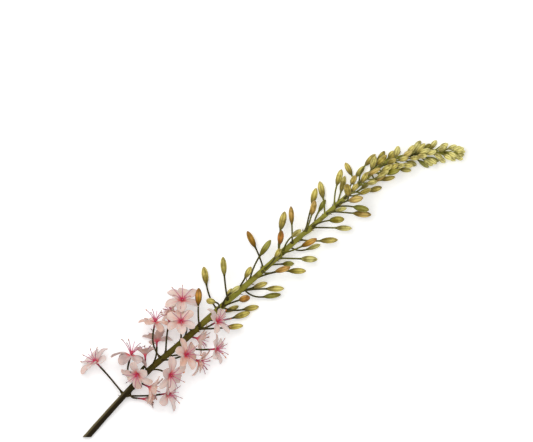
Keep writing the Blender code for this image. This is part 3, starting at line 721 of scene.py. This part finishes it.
def aimed(point, ahead, turn, across, length):
    """The frame of a copy that stands at a point and looks ahead, turned, and scaled across and along."""
    ahead = ahead.normalized()
    side = ahead.orthogonal().normalized()
    facing = Matrix((side, ahead.cross(side), ahead)).transposed() @ Matrix.Rotation(turn, 3, "Z")
    return Matrix.Translation(point) @ facing.to_4x4() @ Matrix.Diagonal((across, across, length, 1.0))


bud = turned(BUD_SIDES, BUD_PROFILE, 1.0, 1.0)
in_furrow = every(2, BUD_SIDES)
choose(bud, lambda spot: in_furrow(spot) and PLAIN_END < spot.z < 1.0 - PLAIN_END)
resize(BUD_FURROW, BUD_FURROW, 1.0)
leave_shape()
mark(bud, "furrow", [float(in_furrow(vertex.co)) for vertex in bud.data.vertices])
round_off(bud)
mark_height(bud)
bpy.ops.object.shade_smooth()

draw = random.Random(BUD_SEED)
parts = []
for where, root, stem_radius, foot, tip, width, look in all_buds:
    facing = tip - foot
    plump = width * draw.uniform(*PLUMPNESS) * MM
    part = copy_of(bud, aimed(foot, facing, draw.uniform(0.0, pi), plump, facing.length))
    tan, pale, green = BUD_LOOKS[look]
    youth = YOUNG_PALE * max(where - YOUNG_FROM, 0.0)
    even(part, "tan", tan + draw.uniform(*TAN_VARIES))
    even(part, "pale", pale + draw.uniform(*PALE_VARIES) + youth)
    even(part, "green", green + draw.uniform(*GREEN_VARIES))
    parts.append(part)
bpy.data.objects.remove(bud)
buds = join("buds", parts)

bud_skin, tree, shader = finish_of("bud_skin", 0.45, Specular_IOR_Level=0.15)
height = marked("height")
speck = patches(420.0, 3.0)
cloud = patches(120.0)
# Up each bud the colour runs from a dark foot to a bright band three quarters up, then to a tan tip: the dark
# foot is partly painted shade, and the bright band partly a painted highlight.
body = ramp(
    height,
    (0.0, 62, 54, 4), (0.18, 98, 86, 6), (0.42, 162, 147, 26), (0.74, 228, 214, 104), (1.0, 172, 142, 56)
)
tanned = ramp(height, (0.0, 84, 56, 8), (0.25, 148, 86, 14), (0.6, 210, 134, 58), (1.0, 158, 80, 46))
flush = times(marked("tan"), ranged(cloud, 0.3, 0.62, 0.6, 1.0))
flushed = mixed(flush, body, tanned)
# Pale and young buds are lighter, and this light colour is laid on most from the middle up, as a painted
# highlight.
paling_and_highlight = times(marked("pale"), ranged(height, 0.1, 0.65, 0.35, 0.85))
lit = mixed(paling_and_highlight, flushed, tone(250, 240, 156))
fresh = mixed(times(marked("green"), 0.7), lit, tone(104, 116, 40))
shaded = laid_over(fresh, cloud, 0.48, 0.64, 0.6, tone(106, 90, 8))
# The furrows between the tepals are darkened as painted shade, a little less near the foot.
furrow = ranged(marked("furrow"), 0.3, 1.0, 0.0, 0.5)
furrow_shade_share = times(furrow, ranged(height, 0.0, 0.3, 0.6, 1.0))
furrow_shaded = mixed(furrow_shade_share, shaded, tone(88, 78, 6))
paint(laid_over(furrow_shaded, speck, 0.56, 0.75, 0.35, tone(110, 88, 34)))
rough(speck, 0.2, 0.25)
buds.data.materials.append(bud_skin)
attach(buds, "root")
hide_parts("raceme")

# The bracts: a small dry scale under each stalk, and the dead stubs of stalks whose blooms fell.
# Each grew out of the stem's skin, thin and pointed, and dried brown. They are rooted in the stem just
# below their stalk and lie against it.
BRACT_SIDES = 8
BRACT_TIP = 0.12
BRACT_FLATNESS = 0.4
# Along the stem, from 0 to 1: the length of a bract and half its breadth.
BRACT_LENGTHS = [(0, 5), (0.4, 4.2), (1, 2.2)]
BRACT_BREADTHS = [(0, 1.3), (0.4, 1.15), (1, 0.6)]
LENGTH_FACTORS = (0.8, 1.15)
BRACT_SETBACK = 1.6
BRACT_SINK = 0.5
BRACT_LEAN = 0.9
BRACT_TURN = 0.4
BRACT_SEED = 33
# How far before and after a place on the stem its direction is taken, as a share of its length.
DIRECTION_STEP = 0.01
# A stub: its plan place on the stem, its compass direction, its length and half its breadth.
STUBS = [
    (122, 396, 155, 6.5, 1),
    (127.5, 388.5, 60, 6, 1.3),
    (187, 336.5, 100, 6, 1),
    (193.5, 333, 95, 5.5, 0.9),
    (176.5, 347, 120, 6, 0.9),
]
STUB_RISE = 0.35

deselect()
bpy.ops.mesh.primitive_cone_add(
    vertices=BRACT_SIDES, radius1=1.0, radius2=BRACT_TIP, depth=1.0, location=(0.0, 0.0, 0.5)
)
bpy.ops.object.transform_apply(location=True, rotation=False, scale=False)
bract = bpy.context.object
edit_all()
resize(1.0, BRACT_FLATNESS, 1.0)
bpy.ops.object.mode_set(mode="OBJECT")
round_off(bract)
mark_height(bract)
bpy.ops.object.shade_smooth()

draw = random.Random(BRACT_SEED)
parts = []
for where, root, radius, foot, *_ in all_buds:
    before = place(*stem_at(max(where - DIRECTION_STEP, 0.0))[:3])
    after = place(*stem_at(min(where + DIRECTION_STEP, 1.0))[:3])
    along = (after - before).normalized()
    out = ((foot - root) - along * (foot - root).dot(along)).normalized()
    point = root + out * (radius - BRACT_SINK) * MM - along * BRACT_SETBACK * MM
    length = between(BRACT_LENGTHS, where) * draw.uniform(*LENGTH_FACTORS) * MM
    turn = draw.uniform(-BRACT_TURN, BRACT_TURN)
    breadth = between(BRACT_BREADTHS, where) * MM
    parts.append(copy_of(bract, aimed(point, out + along * BRACT_LEAN, turn, breadth, length)))
for x, y, compass, length, breadth in STUBS:
    where, root, radius = stem_root(x, y)
    heading = radians(compass) - CHORD_ANGLE
    ahead = Vector((cos(heading), sin(heading), STUB_RISE))
    parts.append(copy_of(bract, aimed(root, ahead, 0.0, breadth * MM, length * MM)))
bpy.data.objects.remove(bract)
bracts = join("bracts", parts)

bract_skin, tree, shader = finish_of("bract_skin", 0.75, Specular_IOR_Level=0.1)
dry = ramp(marked("height"), (0.0, 92, 78, 28), (0.5, 84, 60, 24), (1.0, 44, 30, 14))
crinkle = patches(800.0, 3.0)
paint(laid_over(dry, crinkle, 0.45, 0.7, 0.5, tone(132, 104, 56)))
rough(crinkle, 0.4, 0.25)
bracts.data.materials.append(bract_skin)
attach(bracts, "root")
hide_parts("raceme")

# The stalks of the open blooms.
# Longer wiry stalks, nearly black-brown below and olive above, that end in a small joint. The blooms
# opened from the cut end up, and each turned on its stalk to face its own way.
# A row: where its stalk leaves the stem, the foot of its tube with its height, the compass direction it
# faces in the plan (0 is to the right, 90 up the plan), how far it looks up, its roll, how far it is
# open, and its size.
BLOOMS = [
    ((122.6, 393), (100.8, 366.9, 15), 132, 25, -30, 0.95, 1.08),
    ((137, 381), (129.8, 361, 35), 75, 8, 30, 1.45, 1.18),
    ((135, 384), (141.5, 369, 41), 232, 42, -20, 0.95, 1.02),
    ((124.5, 396), (160.5, 394, 22), 7, 20, -30, 1, 1.12),
    ((141, 379), (143.5, 383.5, 33), -25, 3, 0, 0.8, 1.05),
    ((144, 375.5), (165.5, 371.5, 41), -25, 38, 0, 1, 1.08),
    ((161, 359.5), (181, 355.8, 42), 20, 40, -30, 1, 1),
    ((150, 370), (192.5, 358, 20.5), -22, 4, 30, 0.9, 1),
    ((179.5, 345), (208.7, 349, 29.5), 3, 15, -30, 1, 0.95),
    ((199, 327.5), (212.3, 324, 37.5), 30, 30, -30, 1.05, 0.95),
    ((188, 337), (191, 336.5, 14.5), -15, 0, -30, 0.8, 0.95),
    ((181.5, 342.5), (181.5, 324.5, 42), 90, 60, 5, 1, 0.95),
    ((193, 332), (182.4, 305, 34), 88, 44, 0, 0.95, 1.08),
    ((184, 340.5), (179.2, 316, 24), 145, 8, -30, 0.7, 0.9),
    ((161.7, 358.5), (154.3, 328.5, 37), 80, 10, -30, 1.3, 1),
    ((166.3, 355), (168.6, 325.8, 17), 80, -40, -30, 0.45, 0.7),
    ((140, 378), (157, 347.2, 17.5), 90, -30, 22, 0.8, 0.95),
    ((147, 372), (145.8, 361.5, 27), 92, 0, 0, 0.55, 0.8),
    ((131, 388), (137.5, 398, 10), -6, 0, -30, 0.3, 0.82),
]
BLOOM_STALK_RADIUS = 0.95
BLOOM_STALK_STEPS = 18
STALK_END = 3.0
# How many points before the joint have the stalk's plain radius.
PLAIN_POINTS = 3
# Along the stalk's last STALK_END millimetres, from 0 to 1: how much thicker the joint is.
STALK_JOINT = [(0.5, 1.0), (0.8, 1.1), (1.0, 1.2)]
TUBE_LENGTH = 7.0


def facing_of(row):
    """The direction a bloom faces, from its compass direction in the plan and its angle upward."""
    compass = radians(row[2]) - CHORD_ANGLE
    rise = radians(row[3])
    return Vector((cos(compass) * cos(rise), sin(compass) * cos(rise), sin(rise)))


lines = []
radius = BLOOM_STALK_RADIUS * MM
for row in BLOOMS:
    where, root, stem_radius = stem_root(*row[0])
    facing = facing_of(row)
    foot = place(*row[1])
    bent = foot - facing * STALK_END * MM
    points = stalk_line(root, bent, facing, BLOOM_STALK_RADIUS, stem_radius, BLOOM_STALK_STEPS)
    points[-PLAIN_POINTS:] = [(point, radius) for point, _ in points[-PLAIN_POINTS:]]
    points += [(bent.lerp(foot, share), radius * thicker) for share, thicker in STALK_JOINT]
    lines.append(points)
bloom_stalks = tubes("bloom_stalks", lines)
bloom_stalks.data.materials.append(stalk_skin)
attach(bloom_stalks, "root")
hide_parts("raceme")

# The perianths: a slim tube, a small receptacle and six tepals to each open bloom.
# The tube is crimson and smooth. The tepals are thin, soft and a little see-through, nearly white with
# a crimson foot, a pink midrib and a waved edge. Three outer and three slightly broader inner ones
# grew from the receptacle's rim, and they curl back as the bloom opens.
# Height of the tube from its foot, at minus its length, to the receptacle at 0, and radius.
TUBE_PROFILE = [
    (-1.0, 0.62), (-0.97, 0.86), (-0.9, 0.98), (-0.7, 0.92), (-0.4, 0.95), (-0.15, 1.2), (0.0, 1.75),
]
TUBE_SIDES = 12
DOME_RISE = 0.5
DOME_NARROW = 0.5
TEPALS = 6
TEPAL_LENGTH = 16.5
# Along a tepal from its foot to its tip: half its width.
TEPAL_ROWS = [
    (0.0, 0.8), (0.06, 1.15), (0.14, 1.95), (0.24, 3.1), (0.36, 4.15), (0.49, 4.85), (0.62, 5.15),
    (0.74, 5.0), (0.84, 4.3), (0.92, 3.15), (0.97, 1.9), (1.0, 0.6),
]
TEPAL_COLUMNS = 6
OUTER_BREADTH = 1.0
INNER_BREADTH = 1.12
# Shares of half its width: how deep a tepal is cupped, and how far its midrib stands up.
TEPAL_CUP = 0.275
TEPAL_MIDRIB = 0.055
TEPAL_THICKNESS = 0.34
TEPAL_WAVE = 0.75
# From this share of its length on, a tepal is waved.
WAVED_FROM = 0.3
WAVE_SMOOTHED = 0.5
ON_COLUMN = 0.01
TEPAL_KINDS = 5
TEPAL_START = 1.0
TEPAL_SINK = 0.6
TEPAL_RISE = radians(30.0)
TEPAL_FALL = radians(-16.0)
TEPAL_SHUT = radians(62.0)
TEPAL_NARROW = 0.4
INNER_LIFT = radians(6.0)
TIP_VARIES = 0.35
TWIST_VARIES = 0.3
TURN_VARIES = 0.06
LENGTH_VARIES = (0.94, 1.05)
BLOOM_SEED = 5
# A tepal that comes nearer to the table than BEND_HEIGHT bends to lie along it, at REST_HEIGHT at least.
BEND_HEIGHT = 2.0 * MM
REST_HEIGHT = 0.2 * MM
# How peach a bloom's tepals are, how much grey is painted on them as shade where the bloom lies in shade,
# and how far its anthers are spent and dark, from the first row of BLOOMS to the last.
BLOOM_TINTS_AND_SHADE = [
    (0.1, 0.35, 0.1), (0.15, 0.9, 0.5), (0.55, 0.25, 1.0), (0.1, 0.3, 0.1), (0.85, 0.1, 0.4),
    (0.45, 0.3, 0.0), (0.8, 0.1, 0.1), (0.8, 0.3, 0.2), (0.05, 0.2, 0.0), (0.25, 0.15, 0.0),
    (0.55, 0.35, 0.4), (0.45, 0.25, 0.1), (0.35, 0.4, 0.2), (0.9, 0.2, 0.3), (1.0, 0.3, 0.1),
    (0.6, 0.5, 0.5), (0.45, 0.9, 0.5), (0.55, 0.6, 0.5), (0.45, 0.8, 0.8),
]
TINT_VARIES = 0.25


def bloom_frame(row):
    """Where an open bloom's receptacle is and how it is turned."""
    facing = facing_of(row)
    level = Vector((0.0, 0.0, 1.0)).cross(facing).normalized()
    upright = Matrix((level, facing.cross(level), facing)).transposed()
    rolled = upright @ Matrix.Rotation(radians(row[4]), 3, "Z")
    return Matrix.Translation(place(*row[1]) + facing * TUBE_LENGTH * MM) @ rolled.to_4x4()


def round_the_middle(k, count, draw):
    """The turn of one of a bloom's tepals or stamens about its middle."""
    angle = 2 * pi * (k + 0.5) / count + draw.uniform(-TURN_VARIES, TURN_VARIES)
    return Matrix.Rotation(angle - pi / 2, 4, "Z")


def deform(thing, method, axis, angle):
    """A twist or a bend of a piece about an axis, for apply_all to make part of its mesh."""
    change = thing.modifiers.new("change", "SIMPLE_DEFORM")
    change.deform_method = method
    change.deform_axis = axis
    change.angle = angle


def tepal_kind(kind, breadth):
    """A flat tepal standing on its foot, with its inner face toward -Y, for copies to be bent from."""
    deselect()
    bpy.ops.mesh.primitive_grid_add(
        x_subdivisions=TEPAL_COLUMNS, y_subdivisions=1, size=2.0, rotation=(radians(90.0), 0.0, 0.0)
    )
    bpy.ops.object.transform_apply(location=False, rotation=True, scale=False)
    made = bpy.context.object
    made.name = f"tepal_kind_{kind}"
    edit_all()
    choose(made, lambda spot: spot.z < 0.0)
    bpy.ops.mesh.delete(type="VERT")
    bpy.ops.mesh.select_all(action="SELECT")
    bpy.ops.transform.translate(value=(0.0, 0.0, -1.0))
    for column in range(TEPAL_COLUMNS + 1):
        across = column * 2.0 / TEPAL_COLUMNS - 1.0
        lift = -TEPAL_CUP * across ** 2 + (TEPAL_MIDRIB if column * 2 == TEPAL_COLUMNS else 0.0)
        choose(made, lambda spot: abs(spot.x - across) < ON_COLUMN)
        bpy.ops.transform.translate(value=(0.0, lift, 0.0))
    bpy.ops.mesh.select_all(action="SELECT")
    start = TEPAL_ROWS[0][1] * breadth * MM
    resize(start, start, start)
    for (low, half), (high, following) in zip(TEPAL_ROWS, TEPAL_ROWS[1:]):
        step = (high - low) * TEPAL_LENGTH * MM
        bpy.ops.mesh.extrude_edges_move(TRANSFORM_OT_translate={"value": (0.0, 0.0, step)})
        resize(following / half, following / half, 1.0)
    choose(made, lambda spot: spot.z > WAVED_FROM * TEPAL_LENGTH * MM)
    bpy.ops.transform.vertex_random(offset=TEPAL_WAVE * MM, uniform=0.0, normal=1.0, seed=kind)
    bpy.ops.mesh.vertices_smooth(factor=WAVE_SMOOTHED)
    leave_shape()
    round_off(made)
    keep_rest(made)
    thickening = made.modifiers.new("thickening", "SOLIDIFY")
    thickening.thickness = TEPAL_THICKNESS * MM
    thickening.offset = 0.0
    apply_all(made)
    bpy.ops.object.shade_smooth()
    return made


outer_kinds = [tepal_kind(kind, OUTER_BREADTH) for kind in range(TEPAL_KINDS)]
inner_kinds = [tepal_kind(kind, INNER_BREADTH) for kind in range(TEPAL_KINDS, 2 * TEPAL_KINDS)]
tube = turned(TUBE_SIDES, TUBE_PROFILE, MM, TUBE_LENGTH * MM)
pull_up(DOME_RISE * MM)
bpy.ops.transform.resize(value=(DOME_NARROW, DOME_NARROW, 1.0))
leave_shape()
keep_rest(tube)
round_off(tube)
bpy.ops.object.shade_smooth()

tepal_skin, tree, shader = finish_of(
    "tepal_skin", 0.55, Subsurface_Weight=0.35, Subsurface_Radius=(1.0, 0.6, 0.5), Subsurface_Scale=0.0012
)
axes = rest_axes()
from_foot = axes["Z"]
from_middle = wire("Math", {0: axes["X"]}, operation="ABSOLUTE").outputs[0]
veins = streaks((2.6, 1.0, 0.16), 2.0)
warmth = times(marked("peach"), ranged(patches(95.0), 0.3, 0.6, 0.4, 1.0))
warm = mixed(warmth, tone(236, 221, 215), tone(226, 182, 158))
# Grey laid unevenly over the tepals as painted shade, more on the blooms that lie in shade.
shade_amount = times(marked("painted_shade"), ranged(patches(60.0), 0.36, 0.62, 0.35, 1.0))
shade_greyed = mixed(shade_amount, warm, tone(182, 161, 156))
veined = laid_over(shade_greyed, veins, 0.5, 0.75, 0.35, tone(236, 190, 184))
rimmed = laid_over(veined, from_middle, 2.6, 4.8, 0.45, tone(201, 188, 185))
near_midrib = ranged(from_middle, 0.1, 0.75, 1.0, 0.0)
midrib = times(near_midrib, ranged(from_foot, 2.0, 13.0, 0.7, 0.0))
ribbed = mixed(midrib, rimmed, tone(224, 132, 142))
glow = ranged(from_foot, 0.4, 5.2, 1.0, 0.0)
paint(mixed(glow, ribbed, tone(224, 92, 100)))
rough(veins, 0.35, 0.3)
for kind in outer_kinds + inner_kinds:
    kind.data.materials.append(tepal_skin)

tube_skin, tree, shader = finish_of("tube_skin", 0.4)
up_tube = ranged(rest_axes()["Z"], -TUBE_LENGTH, DOME_RISE)
crimson = ramp(up_tube, (0.0, 104, 22, 34), (0.25, 140, 18, 50), (0.7, 178, 30, 72), (1.0, 212, 66, 92))
grain = streaks((3.0, 3.0, 0.3))
paint(laid_over(crimson, grain, 0.45, 0.7, 0.4, tone(110, 20, 44)))
rough(grain, 0.25, 0.2)
tube.data.materials.append(tube_skin)

draw = random.Random(BLOOM_SEED)
for number, (row, (peach, painted_shade, spent)) in enumerate(zip(BLOOMS, BLOOM_TINTS_AND_SHADE), start=1):
    openness, size = row[5], row[6]
    here = bloom_frame(row)
    shut = (1.0 - openness) * TEPAL_SHUT
    breadth = size * (1.0 - max(1.0 - openness, 0.0) * TEPAL_NARROW)
    parts = [copy_of(tube, here)]
    for k in range(TEPALS):
        kinds, lift = (inner_kinds, INNER_LIFT) if k % 2 else (outer_kinds, -INNER_LIFT)
        start_slope = TEPAL_RISE + shut + lift
        end_slope = TEPAL_FALL + shut + lift + draw.uniform(-TIP_VARIES, TIP_VARIES)
        length = size * draw.uniform(*LENGTH_VARIES)
        tepal = copy_of(draw.choice(kinds), Matrix.Diagonal((breadth, breadth, length, 1.0)))
        deform(tepal, "TWIST", "Z", draw.uniform(-TWIST_VARIES, TWIST_VARIES))
        deform(tepal, "BEND", "X", start_slope - end_slope)
        apply_all(tepal)
        leaned = Matrix.Rotation(start_slope - pi / 2, 4, "X")
        at_rim = Matrix.Translation((0.0, TEPAL_START * MM, -TEPAL_SINK * MM))
        tepal.data.transform(here @ round_the_middle(k, TEPALS, draw) @ at_rim @ leaned)
        even(tepal, "peach", peach + draw.uniform(-TINT_VARIES, TINT_VARIES))
        even(tepal, "painted_shade", painted_shade + draw.uniform(-TINT_VARIES, TINT_VARIES))
        parts.append(tepal)
    perianth = join(f"perianth_{number:02d}", parts)
    room = BEND_HEIGHT - REST_HEIGHT
    for vertex in perianth.data.vertices:
        if vertex.co.z < BEND_HEIGHT:
            vertex.co.z = REST_HEIGHT + room * exp((vertex.co.z - BEND_HEIGHT) / room)
    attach(perianth, "root")
    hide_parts(f"bloom_{number:02d}_tepals")
for spare in [tube] + outer_kinds + inner_kinds:
    bpy.data.objects.remove(spare)

# The pistils and stamens: an ovary with its style, and six stamens to each open bloom.
# The ovary is a small crimson knob. The filaments are fine pink threads rooted round it, which bow
# outward, and each holds a tan or mauve anther, fixed at its end, that sheds orange pollen when ripe.
# Height and radius of the ovary and style.
PISTIL_PROFILE = [
    (0.35, 0.7), (0.8, 1.25), (1.7, 1.55), (2.7, 1.3), (3.5, 0.7), (4.3, 0.36), (7.5, 0.28),
    (11.2, 0.26), (11.7, 0.4), (12.0, 0.2),
]
PISTIL_SIDES = 9
# The ovary has three grooves between these heights.
GROOVES_FROM = 0.6 * MM
GROOVES_TO = 3.0 * MM
GROOVE_DEPTH = 0.86
STAMENS = 6
FILAMENT_SIDES = 6
FILAMENT_RINGS = 12
FILAMENT_RADIUS = 0.5
FILAMENT_TAPER = 0.6
FILAMENT_BOW = radians(34.0)
BOW_VARIES = (0.7, 1.25)
# Where a filament starts and ends: out from the bloom's middle and up.
STAMEN_ROOT = (0.75, 1.0)
STAMEN_TIP = (10.6, 10.6)
STAMEN_SHUT = 0.7
LEAN_VARIES = (0.8, 1.12)
# ANTHER_GROOVE says which corners of an anther lie in its groove: how near its middle, and how high.
ANTHER_SIDES = 12
ANTHER_RINGS = 8
ANTHER_LENGTH = 2.9
ANTHER_BREADTH = 0.95
ANTHER_GROOVE = (0.05, 0.45)
ANTHER_WAIST = 0.62
ANTHER_FLATNESS = 0.8
# The size of an unripe anther, and how much broader and longer it gets as it ripens.
ANTHER_UNRIPE = 0.7
ANTHER_BROADENS = 0.5
ANTHER_LENGTHENS = 0.35
ANTHER_TILT = 0.5
ANTHER_TURN = 3.0
# Above 1, fewer anthers are ripe.
RIPE_POWER = 1.5
STAMEN_SEED = 9

pistil = turned(PISTIL_SIDES, PISTIL_PROFILE, MM, MM)
in_groove = every(3, PISTIL_SIDES)
choose(pistil, lambda spot: in_groove(spot) and GROOVES_FROM < spot.z < GROOVES_TO)
resize(GROOVE_DEPTH, GROOVE_DEPTH, 1.0)
leave_shape()
keep_rest(pistil)
round_off(pistil)
bpy.ops.object.shade_smooth()

shares = [ring / FILAMENT_RINGS for ring in range(FILAMENT_RINGS + 1)]
filament = turned(FILAMENT_SIDES, [(share, FILAMENT_TAPER ** share) for share in shares], 1.0, 1.0)
leave_shape()
mark_height(filament)
bpy.ops.object.shade_smooth()

deselect()
bpy.ops.mesh.primitive_uv_sphere_add(segments=ANTHER_SIDES, ring_count=ANTHER_RINGS, radius=0.5)
anther = bpy.context.object
edit_all()
choose(anther, lambda spot: abs(spot.x) < ANTHER_GROOVE[0] and abs(spot.z) < ANTHER_GROOVE[1])
resize(1.0, ANTHER_WAIST, 1.0)
bpy.ops.mesh.select_all(action="SELECT")
resize(1.0, ANTHER_FLATNESS, 1.0)
bpy.ops.object.mode_set(mode="OBJECT")
bpy.ops.object.shade_smooth()

pistil_skin, tree, shader = finish_of("pistil_skin", 0.38)
up_style = ranged(rest_axes()["Z"], 0.0, PISTIL_PROFILE[-1][0])
rosy = ramp(up_style, (0.0, 196, 40, 70), (0.28, 206, 36, 84), (0.5, 214, 96, 140), (1.0, 196, 120, 160))
grain = streaks((2.0, 2.0, 0.8))
paint(laid_over(rosy, grain, 0.45, 0.75, 0.35, tone(150, 20, 60)))
rough(grain, 0.3, 0.2)
pistil.data.materials.append(pistil_skin)

filament_skin, tree, shader = finish_of("filament_skin", 0.45)
pink = ramp(
    marked("height"),
    (0.0, 204, 52, 92), (0.35, 206, 104, 138), (0.8, 172, 112, 134), (1.0, 148, 104, 118)
)
paint(laid_over(pink, patches(700.0), 0.5, 0.7, 0.35, tone(222, 150, 170)))
filament.data.materials.append(filament_skin)

anther_skin, tree, shader = finish_of("anther_skin", 0.75)
dust = patches(1800.0, 4.0)
coat = mixed(marked("ripe"), tone(140, 112, 118), tone(206, 122, 58))
dusted = laid_over(coat, dust, 0.5, 0.66, 0.55, tone(214, 158, 96))
paint(mixed(marked("spent"), dusted, tone(50, 30, 20)))
rough(dust, 0.7, 0.2)
anther.data.materials.append(anther_skin)

draw = random.Random(STAMEN_SEED)
for number, (row, (peach, painted_shade, spent)) in enumerate(zip(BLOOMS, BLOOM_TINTS_AND_SHADE), start=1):
    openness, size = row[5], row[6]
    here = bloom_frame(row)
    parts = [copy_of(pistil, here @ Matrix.Diagonal((1.0, 1.0, size, 1.0)))]
    for k in range(STAMENS):
        spread = (1.0 - max(1.0 - openness, 0.0) * STAMEN_SHUT) * draw.uniform(*LEAN_VARIES)
        out = (STAMEN_TIP[0] - STAMEN_ROOT[0]) * spread
        up = STAMEN_TIP[1] - STAMEN_ROOT[1]
        bow = FILAMENT_BOW * draw.uniform(*BOW_VARIES)
        length = hypot(out, up) * size * (bow / 2) / sin(bow / 2) * MM
        thread = copy_of(filament, Matrix.Diagonal((FILAMENT_RADIUS * MM, FILAMENT_RADIUS * MM, length, 1.0)))
        deform(thread, "BEND", "X", bow)
        apply_all(thread)
        leaned = Matrix.Rotation(bow / 2 - atan2(out, up), 4, "X")
        at_root = Matrix.Translation((0.0, STAMEN_ROOT[0] * MM, STAMEN_ROOT[1] * MM))
        held = here @ round_the_middle(k, STAMENS, draw) @ at_root @ leaned
        thread.data.transform(held)
        parts.append(thread)
        ripe = draw.random() ** RIPE_POWER
        plump = ANTHER_BREADTH * (ANTHER_UNRIPE + ANTHER_BROADENS * ripe) * MM
        long = ANTHER_LENGTH * (ANTHER_UNRIPE + ANTHER_LENGTHENS * ripe) * MM
        end = Matrix.Translation((0.0, (1.0 - cos(bow)) * length / bow, sin(bow) * length / bow))
        tipped = Matrix.Rotation(-bow - draw.uniform(-ANTHER_TILT, ANTHER_TILT), 4, "X")
        spun = Matrix.Rotation(draw.uniform(0.0, ANTHER_TURN), 4, "Z")
        pollen = copy_of(anther, held @ end @ tipped @ spun @ Matrix.Diagonal((plump, plump, long, 1.0)))
        even(pollen, "ripe", ripe)
        even(pollen, "spent", spent)
        parts.append(pollen)
    stamens = join(f"stamens_{number:02d}", parts)
    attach(stamens, "root")
    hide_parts(f"bloom_{number:02d}_stamens")
for spare in (pistil, filament, anther):
    bpy.data.objects.remove(spare)
